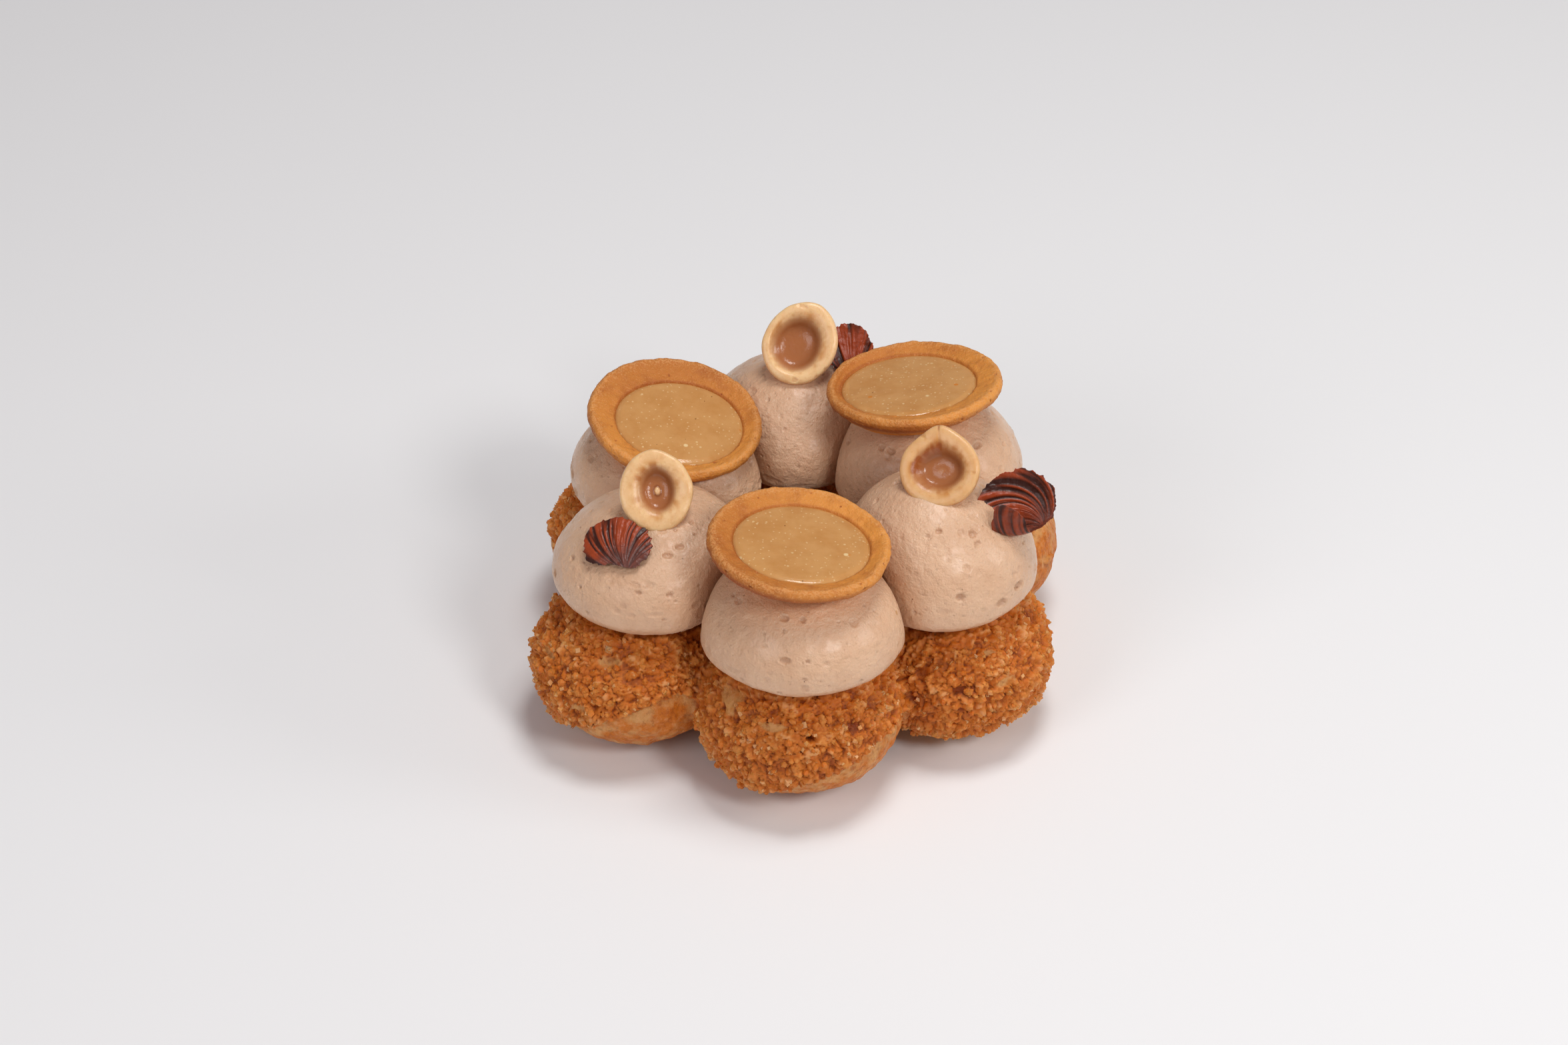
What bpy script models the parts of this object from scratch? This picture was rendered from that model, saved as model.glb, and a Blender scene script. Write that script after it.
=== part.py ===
"""Paris-brest of six choux puffs baked into one ring, each under a piped dome of praline cream.

Three domes carry a small biscuit tartlet of praline. The other three carry half a hazelnut and a flake
of its skin. Sizes are in millimetres, and add_piece turns them into Blender's metres. +Z is up, the ring
stands on z = 0, and bearings are degrees from +X round its middle, anticlockwise seen from above.
"""

import math
import random
from collections import namedtuple

import bmesh
import bpy
from mathutils import Matrix, Vector, noise

MM = 0.001
GAP = 0.35  # air left between two pieces that touch
BOX_MIDDLE_X = 0.9  # the uneven ring's box has its middle here, and add_piece moves it to the origin

# The ring of puffs
PUFF_HALF_HEIGHT = 17.3
PUFF_SINK = 1.9  # how much of its round underside each puff loses to the flat base
PUFF_SEGMENTS = 34
PUFF_ROWS = 14
COVERED_TURN = 28  # degrees round each puff's top that the cream hides
CRUST_THICKNESS = 1.3
CRUST_EDGE_SWAY = 2.0
CRAG_DEPTH = 2.1
CRAG_SIZE = 4.0

# The piped domes
DOME_SEGMENTS = 22
DOME_FALL = 7.3  # half height of the round that turns under from the widest level
DOME_TURN_UNDER = 52  # degrees of that round that show
DOME_BED = 0.5  # air between a dome's hollow underside and the crust
UPPER_RINGS = 6
LOWER_RINGS = 3
CONTACT_POWER = 12.0  # how sharply two domes flatten where they meet

# The tartlets
TARTLET_RADIUS = 18.3
TARTLET_HEIGHT = 6.6
TARTLET_BASE_RADIUS = 11.5
TARTLET_SEGMENTS = 26
PRALINE_RADIUS = 13.8
PRALINE_LEVEL = -1.3  # heights in a tartlet count from its rim's crest
TARTLET_FLOOR = -4.6

# The half hazelnuts
NUT_DEPTH = 6.6
NUT_CAVITY_SHARE = 0.5  # cavity's width as a share of the nut's
NUT_CAVITY_DEPTH = 3.2
NUT_SEGMENTS = 16

# The flakes of skin
FLAKE_THICKNESS = 0.5
FLAKE_SEGMENTS = 20
FLAKE_RINGS = 2

Puff = namedtuple("Puff", "name bearing reach radius edge edge_rise edge_bearing")
Dome = namedtuple("Dome", "name bearing reach level radius rise taper lean lean_bearing")
Tartlet = namedtuple("Tartlet", "name x y z tilt tilt_bearing")
Nut = namedtuple("Nut", "name x y z face_bearing face_rise roll width length point")
Flake = namedtuple("Flake", "name x y z face_bearing face_rise roll width height cup curl seed")

# The crust's lower edge lies at height edge, and edge_rise above that towards edge_bearing.
PUFFS = [
    Puff("front", 271, 36.9, 22.3, 5.0, 5.0, 340),
    Puff("front_right", 330, 36.8, 21.5, 4.0, 3.0, 60),
    Puff("back_right", 29, 38.8, 23.0, 8.0, 6.0, 350),
    Puff("back", 90, 37.4, 22.0, 6.0, 3.0, 120),
    Puff("back_left", 150, 36.9, 22.0, 6.0, 4.0, 60),
    Puff("front_left", 212, 38.9, 22.8, 5.5, 5.5, 320),
]

# A taper of 0.5 makes a dome's upper part an ellipsoid, and a higher one draws it to a peak.
DOMES = [
    Dome("front", 271.5, 34.4, 34.7, 21.3, 14.8, 0.50, 0.0, 0),
    Dome("front_right", 331, 32.1, 35.6, 20.6, 21.0, 0.68, 1.5, 150),
    Dome("back_right", 32.5, 31.9, 36.0, 20.3, 16.5, 0.50, 1.0, 210),
    Dome("back", 90, 32.7, 35.0, 20.3, 18.5, 0.90, 0.5, 270),
    Dome("back_left", 148, 31.7, 35.0, 20.6, 14.0, 0.50, 1.0, 330),
    Dome("front_left", 209, 33.6, 35.4, 20.6, 15.2, 0.55, 3.0, 20),
]

TARTLETS = [
    Tartlet("front", 0.3, -33.2, 55.2, 5.6, 12),
    Tartlet("back_right", 24.0, 16.6, 58.5, 9.4, 122),
    Tartlet("back_left", -25.2, 15.6, 50.5, 10.5, 325),
]

NUTS = [
    Nut("front_right", 28.2, -16.4, 60.0, 250, 42, 14, 16.4, 15.4, 1.3),
    Nut("back", 0.4, 30.3, 58.2, 262, 40, -22, 15.6, 17.4, 0.6),
    Nut("front_left", -28.5, -18.0, 55.6, 268, 40, 8, 14.8, 16.4, 0.4),
]

FLAKES = [
    Flake("front_right", 44.6, -17.2, 50.8, 262, 35, -12, 17.8, 15.0, 4.2, 5.0, 7),
    Flake("back", 10.9, 34.9, 52.6, 275, 40, 10, 11.4, 12.8, 2.0, 1.0, 12),
    Flake("front_left", -36.5, -27.0, 48.5, 240, 56, 18, 17.4, 13.0, -2.4, 0.0, 3),
]

COLOURS = {
    "choux_crust": ((0.42, 0.16, 0.045), 0.75),
    "praline_cream": ((0.64, 0.42, 0.29), 0.40),
    "biscuit": ((0.60, 0.27, 0.08), 0.70),
    "praline": ((0.55, 0.32, 0.12), 0.20),
    "hazelnut": ((0.76, 0.52, 0.27), 0.45),
    "hazelnut_skin": ((0.13, 0.03, 0.015), 0.50),
}


def clear_scene():
    for obj in list(bpy.data.objects):
        bpy.data.objects.remove(obj)


def material(name):
    """The named finish, made once."""
    made = bpy.data.materials.get(name)
    if made is None:
        colour, roughness = COLOURS[name]
        made = bpy.data.materials.new(name)
        made.use_nodes = True
        surface = made.node_tree.nodes["Principled BSDF"]
        surface.inputs["Base Color"].default_value = (*colour, 1.0)
        surface.inputs["Roughness"].default_value = roughness
        surface.inputs["Metallic"].default_value = 0.0
    return made


def add_piece(name, shape, finish):
    """Turns a bmesh in millimetres into an object in metres."""
    bmesh.ops.triangulate(shape, faces=shape.faces[:])
    bmesh.ops.recalc_face_normals(shape, faces=shape.faces[:])
    mesh = bpy.data.meshes.new(name)
    shape.to_mesh(mesh)
    shape.free()
    mesh.transform(Matrix.Scale(MM, 4) @ Matrix.Translation((-BOX_MIDDLE_X, 0, 0)))
    mesh.materials.append(material(finish))
    mesh.shade_smooth()
    obj = bpy.data.objects.new(name, mesh)
    bpy.context.scene.collection.objects.link(obj)
    return obj


def make_cutter(obj):
    obj.hide_render = True
    obj.display_type = "WIRE"
    return obj


def extent(obj):
    """Lowest and highest corner of an object's box, in metres."""
    corners = [Vector(corner) for corner in obj.bound_box]
    return [(min(axis), max(axis)) for axis in zip(*corners)]


def cut_away(domes, cutter):
    """Takes the cutter's shape out of every dome that it may reach, with Booleans that stay on them."""
    for obj in domes.values():
        pairs = zip(extent(obj), extent(cutter))
        if all(low < other_high and other_low < high for (low, high), (other_low, other_high) in pairs):
            cut_one(obj, cutter)


def cut_one(obj, cutter):
    modifier = obj.modifiers.new("cut_" + cutter.name, "BOOLEAN")
    modifier.operation = "DIFFERENCE"
    modifier.solver = "EXACT"
    modifier.object = cutter


def closed_rings(rings, first_pole, last_pole):
    """A closed body from rings of points, each pole closing one end."""
    shape = bmesh.new()
    rows = [[shape.verts.new(point) for point in ring] for ring in rings]
    first, last = shape.verts.new(first_pole), shape.verts.new(last_pole)
    count = len(rows[0])
    for i in range(count):
        j = (i + 1) % count
        shape.faces.new((first, rows[0][i], rows[0][j]))
        shape.faces.new((last, rows[-1][j], rows[-1][i]))
        for upper, lower in zip(rows, rows[1:]):
            shape.faces.new((upper[i], lower[i], lower[j], upper[j]))
    return shape


def turned(profile, segments, wobble=None):
    """A body turned round +Z. The profile runs from the axis back to the axis; wobble(angle) scales radii."""
    rings = []
    for radius, height in profile[1:-1]:
        ring = []
        for i in range(segments):
            angle = math.tau * i / segments
            reach = radius * (wobble(angle, radius, height) if wobble else 1.0)
            ring.append(Vector((reach * math.cos(angle), reach * math.sin(angle), height)))
        rings.append(ring)
    return closed_rings(rings, (0, 0, profile[0][1]), (0, 0, profile[-1][1]))


def at_bearing(bearing, reach, z=0.0):
    angle = math.radians(bearing)
    return Vector((reach * math.cos(angle), reach * math.sin(angle), z))


def facing(x, y, z, bearing, rise, roll):
    """Matrix that puts local +Z along a direction, local +Y as near upright as it can be, then rolls."""
    angle, lift = math.radians(bearing), math.radians(rise)
    out = Vector((math.cos(angle) * math.cos(lift), math.sin(angle) * math.cos(lift), math.sin(lift)))
    right = Vector((0, 0, 1)).cross(out).normalized()
    up = out.cross(right)
    turn = Matrix((right, up, out)).transposed().to_4x4()
    return Matrix.Translation((x, y, z)) @ turn @ Matrix.Rotation(math.radians(roll), 4, "Z")


def puff_centre(puff):
    return at_bearing(puff.bearing, puff.reach, PUFF_HALF_HEIGHT - PUFF_SINK)


def puff_top(puff, x, y):
    """Height of one puff's smooth top over a point, or None beside it."""
    centre = puff_centre(puff)
    share = ((x - centre.x) ** 2 + (y - centre.y) ** 2) / puff.radius**2
    return centre.z + PUFF_HALF_HEIGHT * math.sqrt(1 - share) if share < 1 else None


def ring_top(x, y):
    """Height of the whole ring's top over a point, 0 where there is none."""
    return max(puff_top(puff, x, y) or 0.0 for puff in PUFFS)


def crust_edge(puff, point):
    """Height at which this puff's crust ends, in the direction of a point."""
    towards = math.atan2(point.y - puff_centre(puff).y, point.x - puff_centre(puff).x)
    rise = puff.edge_rise * math.cos(towards - math.radians(puff.edge_bearing))
    return puff.edge + rise + CRUST_EDGE_SWAY * noise.noise(Vector((point.x, point.y, 0)) / (2 * CRAG_SIZE))


def crag_depth(puff, point):
    """How far the surface lies inside the smooth puff: crags on the crust, a ledge below its edge."""
    crag = CRAG_DEPTH * min(1.0, noise.voronoi(point / CRAG_SIZE)[0][0] * 1.2)
    below = min(1.0, max(0.0, crust_edge(puff, point) - point.z))
    bare = CRUST_THICKNESS + 0.3 * crag
    covered_from = puff_centre(puff).z + PUFF_HALF_HEIGHT * math.cos(math.radians(COVERED_TURN))
    cover = min(1.0, max(0.0, (point.z - covered_from) / 2.0 + 1.0))
    return (crag * (1 - below) + bare * below) * (1 - cover)


def puff_point(puff, turn, angle):
    """One point of a puff: turn runs from 0 at its top to pi underneath."""
    centre = puff_centre(puff)
    flat = math.sin(turn)
    unit = Vector((flat * math.cos(angle), flat * math.sin(angle), math.cos(turn)))
    point = Vector((unit.x * puff.radius, unit.y * puff.radius, unit.z * PUFF_HALF_HEIGHT)) + centre
    outward = Vector((unit.x / puff.radius, unit.y / puff.radius, unit.z / PUFF_HALF_HEIGHT)).normalized()
    point -= outward * crag_depth(puff, point)
    point.z = max(point.z, 0.0)
    return point


def puff_shape(puff):
    """One puff: a flattened ball with a craggy crust, a ledge under it and a flat base."""
    centre = puff_centre(puff)
    first_turn, last_turn = math.radians(COVERED_TURN), math.acos(-centre.z / PUFF_HALF_HEIGHT)
    rings = []
    for row in range(PUFF_ROWS):
        turn = first_turn + (last_turn - first_turn) * row / (PUFF_ROWS - 1)
        half_step = 0.5 * (row % 2)
        angles = [math.tau * (i + half_step) / PUFF_SEGMENTS for i in range(PUFF_SEGMENTS)]
        rings.append([puff_point(puff, turn, angle) for angle in angles])
    for point in rings[-1]:
        point.z = 0.0
    return closed_rings(rings, (centre.x, centre.y, centre.z + PUFF_HALF_HEIGHT), (centre.x, centre.y, 0))


def build_ring():
    """Joins the six puffs into the one baked piece."""
    ring = add_piece("choux_ring", puff_shape(PUFFS[0]), "choux_crust")
    others = bpy.data.collections.new("other_puffs")
    for puff in PUFFS[1:]:
        piece = add_piece("puff_" + puff.name, puff_shape(puff), "choux_crust")
        bpy.context.scene.collection.objects.unlink(piece)
        others.objects.link(piece)
    bpy.context.scene.collection.children.link(others)
    union = ring.modifiers.new("join", "BOOLEAN")
    union.operation = "UNION"
    union.solver = "EXACT"
    union.operand_type = "COLLECTION"
    union.collection = others
    bpy.context.view_layer.update()
    joined = bpy.data.meshes.new_from_object(ring.evaluated_get(bpy.context.evaluated_depsgraph_get()))
    ring.modifiers.clear()
    ring.data = joined
    for piece in list(others.objects):
        bpy.data.objects.remove(piece)
    bpy.data.collections.remove(others)
    return ring


def contact_planes(dome):
    """Bearing, and distance from the dome's axis, of the flat where each neighbour presses on it."""
    index = DOMES.index(dome)
    here = at_bearing(dome.bearing, dome.reach)
    planes = []
    for other in (DOMES[index - 1], DOMES[(index + 1) % len(DOMES)]):
        there = at_bearing(other.bearing, other.reach)
        across = there - here
        planes.append((math.atan2(across.y, across.x), across.length / 2 - GAP / 2))
    return planes


def pressed_radius(radius, angle, planes, shift):
    """The radius in one direction once the neighbours have flattened the dome."""
    total = (1 / radius) ** CONTACT_POWER
    for bearing, distance in planes:
        facing_share = math.cos(angle - bearing)
        room = distance - shift.x * math.cos(bearing) - shift.y * math.sin(bearing)
        if facing_share > 0:
            total += (facing_share / room) ** CONTACT_POWER
    return total ** (-1 / CONTACT_POWER)


def dome_point(dome, planes, radius, height, angle, share_up):
    """One point of a dome's outside; the dome leans more towards its tip."""
    shift = at_bearing(dome.lean_bearing, dome.lean * share_up**2)
    reach = pressed_radius(radius, angle, planes, shift)
    axis = at_bearing(dome.bearing, dome.reach) + shift
    x, y = axis.x + reach * math.cos(angle), axis.y + reach * math.sin(angle)
    floor = ring_top(x, y) + DOME_BED
    return Vector((x, y, max(height, floor)))


def dome_shape(dome):
    """A dollop of cream: a full dome, a rounded lower edge and a hollow underside on its puff."""
    planes = contact_planes(dome)
    angles = [math.tau * i / DOME_SEGMENTS for i in range(DOME_SEGMENTS)]
    rings = []
    for i in range(1, UPPER_RINGS + 1):
        share = math.cos(math.pi / 2 * i / UPPER_RINGS)
        radius = dome.radius * (1 - share**2) ** dome.taper
        height = dome.level + dome.rise * share
        rings.append([dome_point(dome, planes, radius, height, angle, share) for angle in angles])
    for i in range(1, LOWER_RINGS + 1):
        turn = math.radians(DOME_TURN_UNDER) * i / LOWER_RINGS
        radius, height = dome.radius * math.cos(turn), dome.level - DOME_FALL * math.sin(turn)
        rings.append([dome_point(dome, planes, radius, height, angle, 0) for angle in angles])
    axis = at_bearing(dome.bearing, dome.reach)
    half_way = []
    for point in rings[-1]:
        x, y = (axis.x + point.x) / 2, (axis.y + point.y) / 2
        half_way.append(Vector((x, y, max(ring_top(x, y) + DOME_BED, point.z))))
    rings.append(half_way)
    tip = axis + at_bearing(dome.lean_bearing, dome.lean, dome.level + dome.rise)
    under = Vector((axis.x, axis.y, ring_top(axis.x, axis.y) + DOME_BED))
    return closed_rings(rings, tip, under)


def build_domes():
    return {dome.name: add_piece("cream_" + dome.name, dome_shape(dome), "praline_cream") for dome in DOMES}


def tartlet_place(tartlet):
    tilt = Matrix.Rotation(math.radians(tartlet.tilt), 4, at_bearing(tartlet.tilt_bearing + 90, 1.0))
    return Matrix.Translation((tartlet.x, tartlet.y, tartlet.z)) @ tilt


def uneven_rim(seed):
    """A slightly uneven outline, the same on every ring of one tartlet."""

    def wobble(angle, radius, height):
        spot = Vector((math.cos(angle) * 1.4, math.sin(angle) * 1.4, seed * 3.7))
        return 1 + 0.025 * noise.noise(spot)

    return wobble


def outer_profile(grow=0.0):
    """The tartlet's outside from the rim's crest to the middle of its base."""
    radius, height = TARTLET_RADIUS + grow, TARTLET_HEIGHT + grow
    return [
        (radius - 1.5, 0.0),
        (radius - 0.35, -0.45),
        (radius, -1.4),
        (radius - 0.7, -2.6),
        (TARTLET_BASE_RADIUS + 2.2 + grow, -height + 1.0),
        (TARTLET_BASE_RADIUS + grow, -height),
        (0, -height),
    ]


def build_tartlets(domes):
    """The biscuit shells and their praline, and the seat that each shell presses into its cream."""
    for index, tartlet in enumerate(TARTLETS):
        place = tartlet_place(tartlet)
        wobble = uneven_rim(index)
        inside = [
            (0, TARTLET_FLOOR),
            (PRALINE_RADIUS - 2.6, TARTLET_FLOOR),
            (PRALINE_RADIUS - 0.4, PRALINE_LEVEL - 1.2),
            (PRALINE_RADIUS + 0.6, PRALINE_LEVEL + 0.1),
            (TARTLET_RADIUS - 2.9, -0.3),
        ]
        shell = turned(inside + outer_profile(), TARTLET_SEGMENTS, wobble)
        shell.transform(place)
        add_piece("tartlet_" + tartlet.name, shell, "biscuit")
        filling = turned(
            [
                (0, PRALINE_LEVEL + 0.35),
                (PRALINE_RADIUS * 0.55, PRALINE_LEVEL + 0.3),
                (PRALINE_RADIUS - 0.9, PRALINE_LEVEL + 0.1),
                (PRALINE_RADIUS - 0.1, PRALINE_LEVEL - 0.2),
                (PRALINE_RADIUS - 0.9, PRALINE_LEVEL - 1.2),
                (PRALINE_RADIUS - 3.2, TARTLET_FLOOR + GAP),
                (0, TARTLET_FLOOR + GAP),
            ],
            TARTLET_SEGMENTS,
            wobble,
        )
        filling.transform(place)
        add_piece("praline_" + tartlet.name, filling, "praline")
        seat = turned([(0, 3.0), (TARTLET_RADIUS + GAP, 3.0)] + outer_profile(GAP)[2:], TARTLET_SEGMENTS, wobble)
        seat.transform(place)
        cutter = make_cutter(add_piece("seat_" + tartlet.name, seat, "biscuit"))
        cut_away(domes, cutter)


def nut_shape(nut, grow=0.0, hollow=True):
    """Half a hazelnut, cut face along +Z, its point along +Y."""
    half_width, half_length = nut.width / 2 + grow, nut.length / 2 + grow
    face = [(0.55, -0.7), (0.62, -0.25), (0.72, 0.0), (0.88, 0.0), (0.97, -0.35)]
    profile = [(share, height + grow) for share, height in face]
    if hollow:
        bottom = (NUT_CAVITY_SHARE * 0.55, -NUT_CAVITY_DEPTH)
        wall = (NUT_CAVITY_SHARE, -0.6 * NUT_CAVITY_DEPTH)
        profile = [bottom, wall] + profile
    depth = NUT_DEPTH + grow
    for turn in (0.12, 0.3, 0.5, 0.7, 0.88):
        angle = math.pi / 2 * turn
        profile.append((math.cos(angle), -0.35 - depth * math.sin(angle)))
    rings = []
    for share, height in profile:
        ring = []
        for i in range(NUT_SEGMENTS):
            angle = math.tau * i / NUT_SEGMENTS
            off_point = math.atan2(math.cos(angle), math.sin(angle))
            point = nut.point * share**2 * math.exp(-((off_point / 0.38) ** 2))
            x = share * half_width * math.cos(angle)
            y = share * half_length * math.sin(angle) + point
            ring.append(Vector((x, y, height)))
        rings.append(ring)
    top = -NUT_CAVITY_DEPTH - 0.15 if hollow else grow
    return closed_rings(rings, (0, 0, top), (0, 0, -0.35 - depth))


def build_nuts(domes):
    for nut in NUTS:
        place = facing(*nut[1:7])
        shape = nut_shape(nut)
        shape.transform(place)
        add_piece("hazelnut_" + nut.name, shape, "hazelnut")
        bed = nut_shape(nut, grow=GAP + 0.1, hollow=False)
        bed.transform(place)
        cutter = make_cutter(add_piece("nut_bed_" + nut.name, bed, "hazelnut"))
        cut_away(domes, cutter)


def flake_outline(flake, angle, chance):
    """Edge of a flake as a share of its half width: a fan, narrow at the bottom, with torn notches."""
    fan = 0.86 + 0.14 * math.sin(angle) - 0.13 * math.exp(-(((angle - 1.5 * math.pi) / 0.5) ** 2))
    return fan * (1 + 0.07 * (chance.random() - 0.5)) + 0.05 * math.cos(3 * angle + flake.seed)


def flake_surface(flake, x, y):
    """Depth of the bent sheet: cupped across, and curled back up at its lower edge."""
    half_width, half_height = flake.width / 2, flake.height / 2
    across, down = x / half_width, y / half_height
    cup = flake.cup * (0.65 * across**2 + 0.35 * down**2)
    curl = flake.curl * max(0.0, -down - 0.1) ** 2
    ripple = 0.18 * math.sin(5.0 * across + flake.seed)
    return cup + curl + ripple


def flake_shape(flake, grow=0.0):
    """A thin bent sheet, both faces split into triangles alike. A positive cup hollows its +Z side."""
    chance = random.Random(flake.seed)
    edge = [flake_outline(flake, math.tau * i / FLAKE_SEGMENTS, chance) for i in range(FLAKE_SEGMENTS)]
    half = FLAKE_THICKNESS / 2 + grow
    rings = []
    shares = [(r + 1) / FLAKE_RINGS for r in range(FLAKE_RINGS)]
    for side, order in ((1, shares), (-1, shares[::-1])):
        for share in order:
            ring = []
            for i, reach in enumerate(edge):
                angle = math.tau * i / FLAKE_SEGMENTS
                x = share * (reach * flake.width / 2 + grow) * math.cos(angle)
                y = share * (reach * flake.height / 2 + grow) * math.sin(angle)
                ring.append(Vector((x, y, flake_surface(flake, x, y) + side * half)))
            rings.append(ring)
    middle = flake_surface(flake, 0, 0)
    return closed_rings(rings, (0, 0, middle + half), (0, 0, middle - half))


def build_flakes(domes):
    for flake in FLAKES:
        place = facing(*flake[1:7])
        shape = flake_shape(flake)
        shape.transform(place)
        add_piece("skin_" + flake.name, shape, "hazelnut_skin")
        slot = flake_shape(flake, grow=GAP)
        slot.transform(place)
        cutter = make_cutter(add_piece("slot_" + flake.name, slot, "hazelnut_skin"))
        cut_away(domes, cutter)


def main():
    clear_scene()
    build_ring()
    domes = build_domes()
    build_tartlets(domes)
    build_nuts(domes)
    build_flakes(domes)


main()
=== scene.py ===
"""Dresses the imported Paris-Brest: baked craquelin, piped praline cream, tartlets, half hazelnuts and skins.

Shapes are worked out in millimetres round the ring's middle, as the solids are, and body_of turns them
into Blender's metres. Bearings are degrees from +X, anticlockwise seen from above.
"""

import itertools
import math
from collections import namedtuple

import bmesh
import bpy
import numpy as np
from mathutils import Matrix, Vector


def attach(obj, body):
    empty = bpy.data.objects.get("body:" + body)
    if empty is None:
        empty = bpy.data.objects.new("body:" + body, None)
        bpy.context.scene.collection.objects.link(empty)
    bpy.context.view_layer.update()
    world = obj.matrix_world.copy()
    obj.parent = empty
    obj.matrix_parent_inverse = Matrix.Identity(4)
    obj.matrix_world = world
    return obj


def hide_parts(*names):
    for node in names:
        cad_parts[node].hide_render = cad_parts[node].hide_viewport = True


bl_info = {
    "name": "Paris-Brest ring",
    "version": (1, 0, 0),
    "blender": (4, 5, 0),
    "location": "View3D > Sidebar > Pastry",
    "description": "Bakes, pipes and tops a ring of six craquelin choux over its packed solids",
    "category": "Object",
}

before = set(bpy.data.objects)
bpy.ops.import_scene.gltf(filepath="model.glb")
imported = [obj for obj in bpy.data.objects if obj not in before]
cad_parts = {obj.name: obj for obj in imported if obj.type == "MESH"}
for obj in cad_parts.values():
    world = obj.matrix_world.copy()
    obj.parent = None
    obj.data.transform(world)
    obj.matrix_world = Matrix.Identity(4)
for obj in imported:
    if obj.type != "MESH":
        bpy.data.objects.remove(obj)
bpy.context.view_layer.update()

MM = 0.001
BOX_MIDDLE_X = 0.9  # the uneven ring's box has its middle here, and body_of moves it to the origin

# The ring, as the solids have it
PUFF_HALF_HEIGHT = 17.3
PUFF_SINK = 1.9
DOME_FALL = 7.3
DOME_BED = 0.5
CONTACT_POWER = 12.0
CONTACT_GAP = 0.35
TARTLET_RADIUS = 18.3
TARTLET_HEIGHT = 6.6
TARTLET_BASE_RADIUS = 11.5
PRALINE_RADIUS = 13.8
PRALINE_LEVEL = -1.3
TARTLET_FLOOR = -4.6

# What the dressed pieces have of their own
DOME_TURN_UNDER = 66  # degrees of the round edge that show, more than on the solids
CRUST_LIMITS = (-0.9, 0.6)  # lowest and highest of the coarse relief
CRUMBLESS_HEIGHT = 2.5  # no loose crumbs stick lower than this
COVERED_SHARE = 0.85  # of a dome's radius, where its cream hides the crust
MEAN_DOME_RADIUS = 20
DOME_ARC_ABOVE = 36  # length of a dome's outline above its widest level
DOME_ARC_BELOW = 10
DOME_UNDERSIDE_ROWS = 9
PROFILE_STEPS = 110
FILLING_STEPS = 90
FILLING_CROWN = PRALINE_LEVEL + 0.32
FILLING_FOOT = TARTLET_FLOOR + 0.3
NUT_FLOOR = -2.3
NUT_BACK = -6.95
GERM_HEIGHT = 0.5
NUT_SEGMENTS = 180
SKIN_SEGMENTS = 300
SKIN_RINGS = 44
SKIN_HALF_THICKNESS = 0.13
FOLD_RADIUS = 1.2
FOLD_TURN = 2.55  # radians that a folded flake turns back

# The studio, in metres but for the middle of the view
VIEW_MIDDLE = (-2.8, 0, 34.2)
SENSOR_WIDTH = 36.0
FLOOR_HALF_WIDTH = 3.0
LAMP_AIM = (0, 0, 0.03)
WORLD_STRENGTH = 0.20
WORLD_COLOUR = (1.0, 0.93, 0.96, 1.0)

# Soft lamps: name, place, width, watts and tint
LAMPS = [
    ("overhead", (0.12, 0.04, 0.95), 0.34, 3.7, (1.0, 0.99, 0.98)),
    ("side", (0.80, -0.14, 0.44), 0.28, 1.4, (1.0, 0.98, 0.96)),
    ("front", (0.44, -0.63, 0.72), 0.26, 3.0, (1.0, 0.985, 0.97)),
    ("fill", (-0.60, -0.68, 0.62), 0.50, 2.1, (1.0, 0.95, 0.96)),
]

Puff = namedtuple("Puff", "name bearing reach radius edge edge_rise edge_bearing edge_power")
Dome = namedtuple("Dome", "name bearing reach level radius rise taper lean lean_bearing")
Tartlet = namedtuple("Tartlet", "name x y z tilt tilt_bearing fill_x fill_y fill_wide fill_deep brown_side")
Nut = namedtuple(
    "Nut", "name x y z face_bearing face_rise roll width length point wide tall off_x off_y seam bead roast"
)
Flake = namedtuple("Flake", "name x y z face_bearing face_rise roll width height cup curl seed")
Fan = namedtuple("Fan", "foot_x foot_y twist pitch bloom fold tail")

# The crust ends at edge, and rises by edge_rise towards edge_bearing, the faster the higher edge_power.
PUFFS = [
    Puff("front", 271, 36.9, 22.3, 2.5, 14.6, 326, 2.2),
    Puff("front_right", 330, 36.8, 21.5, 4.0, 4.0, 60, 1.0),
    Puff("back_right", 29, 38.8, 23.0, 6.0, 20.0, 338, 2.2),
    Puff("back", 90, 37.4, 22.0, 4.0, 9.0, 120, 1.6),
    Puff("back_left", 150, 36.9, 22.0, 4.0, 15.0, 202, 2.6),
    Puff("front_left", 212, 38.9, 22.8, 3.0, 16.5, 292, 3.4),
]

DOMES = [
    Dome("front", 271.5, 34.4, 34.7, 21.3, 14.8, 0.50, 0.0, 0),
    Dome("front_right", 331, 32.1, 35.6, 20.6, 21.0, 0.68, 1.5, 150),
    Dome("back_right", 32.5, 31.9, 36.0, 20.3, 16.5, 0.50, 1.0, 210),
    Dome("back", 90, 32.7, 35.0, 20.3, 18.5, 0.90, 0.5, 270),
    Dome("back_left", 148, 31.7, 35.0, 20.6, 14.0, 0.50, 1.0, 330),
    Dome("front_left", 209, 33.6, 35.4, 20.6, 15.2, 0.55, 3.0, 20),
]

TARTLETS = [
    Tartlet("front", 0.3, -33.2, 55.2, 5.6, 12, 0.55, 0.1, 13.7, 13.1, 200),
    Tartlet("back_right", 24.0, 16.6, 58.5, 9.4, 122, -1.1, 0.6, 13.9, 13.5, 160),
    Tartlet("back_left", -25.2, 15.6, 50.5, 10.5, 325, 0.9, -0.9, 13.3, 12.6, 100),
]

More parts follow.
